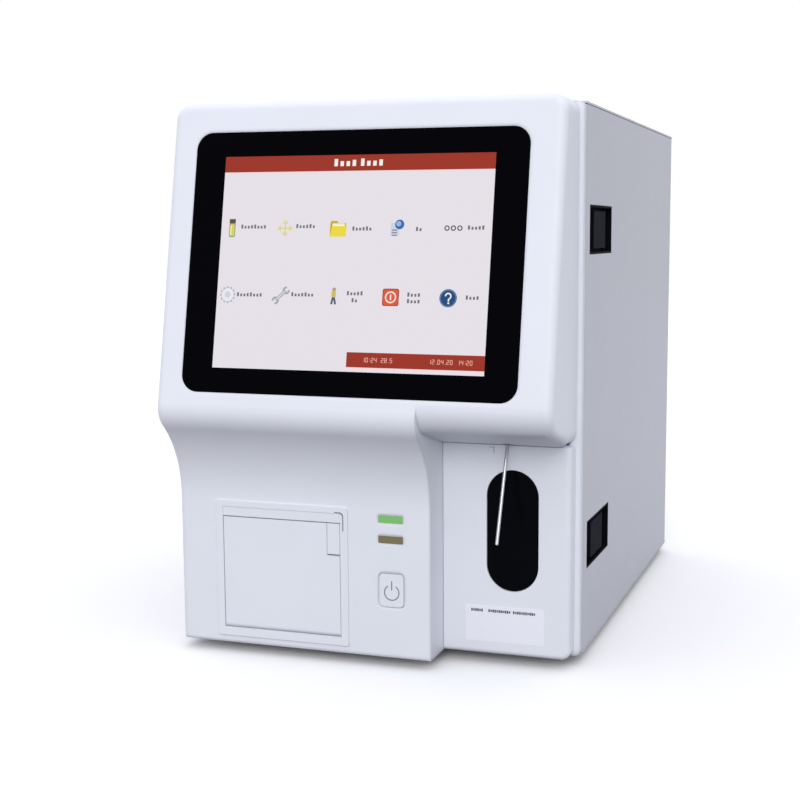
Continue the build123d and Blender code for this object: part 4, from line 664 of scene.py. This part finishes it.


# Marks on the front and rear, with a painted gap shadow at the printer's opening and painted shade in the
# rear screw heads

LABEL_WIDTH = 61.5
LABEL_HEIGHT = 28.0
LABEL_X = 103.2
LABEL_Z = 32.3
LABEL_GROUPS = ((-25.7, 6), (-12.1, 11), (7.2, 11))
LABEL_PITCH = 1.6
LABEL_ROW_DOWN = 4.2
LABEL_CORNER = 0.8
LABEL_UP = 0.12
LABEL_WHITE = (240, 240, 250)
INK_WIDTH = 1.15
INK_HEIGHT = 2.3
INK_STEP = 0.6
INK_UP = 0.15
INK_DARK = (34, 32, 42)
# Painted shadow of the gap round the printer opening's upper right corner: where it runs and how wide it
# is.
GAP_SHADOW_X = -14.6
GAP_SHADOW_Z = 117.0
GAP_SHADOW_DOWN = 14.0
GAP_SHADOW_ACROSS = 7.0
GAP_SHADOW_ROUND = 3.2
GAP_SHADOW_WIDE = 0.75
MARK_AND_SHADOW_UP = 0.06
LAYER = 0.02
# The grey of the painted gap shadow.
GAP_SHADOW_GREY = (104, 102, 116)
TICK_X = 93.0
TICK_Z = 165.5
TICK_ACROSS = 4.0
TICK_DOWN = 5.0
TICK_STROKE = 0.6
TICK_RISE = 2.0
TICK_GREY = (164, 164, 178)
SIGN_SHIFT = (0.3, -1.6)
SIGN_GREY = (122, 134, 132)
SIGN_RADIUS = 6.2
SIGN_STROKE = 0.9
# Painted shade in the cross recesses of the rear screw heads: their size, place and dark colour.
SCREW_HEAD = 3.0
SCREW_IN = 6.0
CROSS_LONG = 3.0
CROSS_WIDE = 0.7
CROSS_ROUND = 0.15
CROSS_RECESS_SHADE = (38, 38, 42)


def tinted(name):
    """Ink, film or painted shade whose colours come from the mesh."""
    made = Finish(name, (128, 128, 128), 0.5)
    tint = made.node("ShaderNodeAttribute", {"attribute_name": "tint"}, {}, "Color")
    speck = made.noise(0.8 * MM, 3.0)
    made.set("Base Color", made.mix(speck * 0.06, tint, (0, 0, 0, 1)))
    made.set("Roughness", 0.45 + made.noise(3 * MM) * 0.1)
    return made.material


def make_label(finish):
    """A bare white film on the bay panel with one row of small ink marks."""
    inlay = Inlay((LABEL_X * MM, low("bay_panel").y, LABEL_Z * MM), (1, 0, 0), (0, 0, 1))
    inlay.plate(oblong(LABEL_WIDTH, LABEL_HEIGHT, LABEL_CORNER), (0, 0), LABEL_WHITE, LABEL_UP)
    row = LABEL_HEIGHT / 2 - LABEL_ROW_DOWN
    for start, count in LABEL_GROUPS:
        for i in range(count):
            block = oblong(INK_WIDTH, INK_HEIGHT - INK_STEP * (i % 3 == 1))
            inlay.plate(block, (start + i * LABEL_PITCH, row), INK_DARK, INK_UP)
    inlay.make("bay_label", finish, "frame")


def make_corner_gap_shadow(finish):
    """Painted shadow: a fine dark line where the gap round the upper right corner of the printer's opening
    lies in shade.
    """
    inlay = Inlay((0, low("printer_bezel").y, 0), (1, 0, 0), (0, 0, 1))
    corner = circle(GAP_SHADOW_ROUND, 10, 0, 90) + [GAP_SHADOW_X - GAP_SHADOW_ROUND, GAP_SHADOW_Z - GAP_SHADOW_ROUND]
    path = np.concatenate([[[GAP_SHADOW_X, GAP_SHADOW_Z - GAP_SHADOW_DOWN]], corner, [[GAP_SHADOW_X - GAP_SHADOW_ACROSS, GAP_SHADOW_Z]]])
    inner = path - [GAP_SHADOW_WIDE, GAP_SHADOW_WIDE]
    inlay.band(path, inner, (0, 0), GAP_SHADOW_GREY, MARK_AND_SHADOW_UP, closed=False)
    inlay.make("corner_gap_shadow", finish, "frame")


def make_bay_tick(finish):
    """A small square-cornered index mark at the top of the bay panel."""
    inlay = Inlay((TICK_X * MM, low("bay_panel").y, TICK_Z * MM), (1, 0, 0), (0, 0, 1))
    side = (TICK_ACROSS - TICK_STROKE) / 2
    inlay.plate(oblong(TICK_ACROSS, TICK_STROKE), (0, TICK_RISE), TICK_GREY, MARK_AND_SHADOW_UP)
    inlay.plate(oblong(TICK_STROKE, TICK_DOWN), (side, 0), TICK_GREY, MARK_AND_SHADOW_UP + LAYER)
    inlay.make("bay_tick", finish, "frame")


def make_power_mark(finish):
    """The ring-and-bar sign on the power button."""
    centre = middle("power_button")
    inlay = Inlay((centre.x, low("power_button").y, centre.z), (1, 0, 0), (0, 0, 1))
    ring_and_bar(inlay, SIGN_SHIFT, SIGN_RADIUS, SIGN_STROKE, SIGN_GREY, MARK_AND_SHADOW_UP)
    inlay.make("power_sign", finish, "power_key")


def make_screw_recess_shades(finish):
    """Painted shade: dark crosses drawn on the heads of the rear screws, where their cross recesses lie in
    shade.
    """
    first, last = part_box("case_screws")
    left, right = first.x / MM + SCREW_HEAD, last.x / MM - SCREW_HEAD
    under, upper = first.z / MM + SCREW_HEAD, last.z / MM - SCREW_HEAD
    centres = ((left, under), (left, (under + upper) / 2), (left, upper),
               ((left + right + SCREW_IN) / 2, upper), (right, upper))
    inlay = Inlay((0, last.y, 0), (-1, 0, 0), (0, 0, 1))
    for x, z in centres:
        for angle, top in ((0, LAYER), (90, 2 * LAYER)):
            bar = turned(oblong(CROSS_LONG, CROSS_WIDE, CROSS_ROUND), angle)
            inlay.plate(bar, (-x, z), CROSS_RECESS_SHADE, top)
    inlay.make("screw_recess_shades", finish, "frame")


# Surroundings

FLOOR_COLOUR = (255, 255, 255)
FLOOR_BOUNCE = (98, 98, 104)
FLOOR_HALF = 6.0
BACKDROP = (1, 1, 1, 1)
AMBIENT = (0.975, 0.99, 1.05, 1)
SUN = 1.12
SUN_COLOUR = (1.0, 0.99, 0.97)
SUN_HIGH = 25
SUN_RIGHT = 12
SUN_WIDE = 30


def seen_ray(made):
    """1 or more for a ray from the camera, a gloss or a clear piece, and 0 for light that bounces."""
    names = ("Is Camera Ray", "Is Glossy Ray", "Is Transmission Ray")
    camera, gloss, clear_piece = (made.node("ShaderNodeLightPath", {}, {}, name) for name in names)
    return camera + gloss + clear_piece


def make_floor():
    """A white floor that throws less light up than it shows."""
    corners = np.array([[-1, -1, 0], [1, -1, 0], [1, 1, 0], [-1, 1, 0]]) * FLOOR_HALF
    mesh = bpy.data.meshes.new("floor")
    mesh.from_pydata(corners.tolist(), [], [(0, 1, 2, 3)])
    floor = bpy.data.objects.new("floor", mesh)
    bpy.context.scene.collection.objects.link(floor)
    made = Finish("pale floor", FLOOR_COLOUR, 0.9)
    made.set("Base Color", made.mix(seen_ray(made), linear(FLOOR_BOUNCE), made.colour))
    mesh.materials.append(made.material)


class Surround(Finish):
    """The world's light, with the same helpers as a finish."""

    def __init__(self, world):
        world.use_nodes = True
        self.tree = world.node_tree
        self.shader = self.tree.nodes["Background"]


def make_light():
    """An even white surround, and one wide soft lamp from the front."""
    world = bpy.data.worlds.new("studio")
    bpy.context.scene.world = world
    made = Surround(world)
    made.set("Color", made.mix(seen_ray(made), AMBIENT, BACKDROP))
    data = bpy.data.lights.new("key", "SUN")
    data.energy = SUN
    data.color = SUN_COLOUR
    data.angle = radians(SUN_WIDE)
    key = bpy.data.objects.new("key", data)
    key.rotation_euler = (radians(90 - SUN_HIGH), 0, radians(SUN_RIGHT))
    bpy.context.scene.collection.objects.link(key)


make_camera()
finishes = make_finishes()
dress_nodes(finishes)
make_picture(lit_picture("lit picture"))
# The same finish colours the printed marks and the painted shadow and shade pieces.
ink = tinted("ink film and painted shade")
make_label(ink)
make_corner_gap_shadow(ink)
make_bay_tick(ink)
make_power_mark(ink)
make_screw_recess_shades(ink)
make_floor()
make_light()
bpy.context.scene.view_settings.view_transform = "Standard"
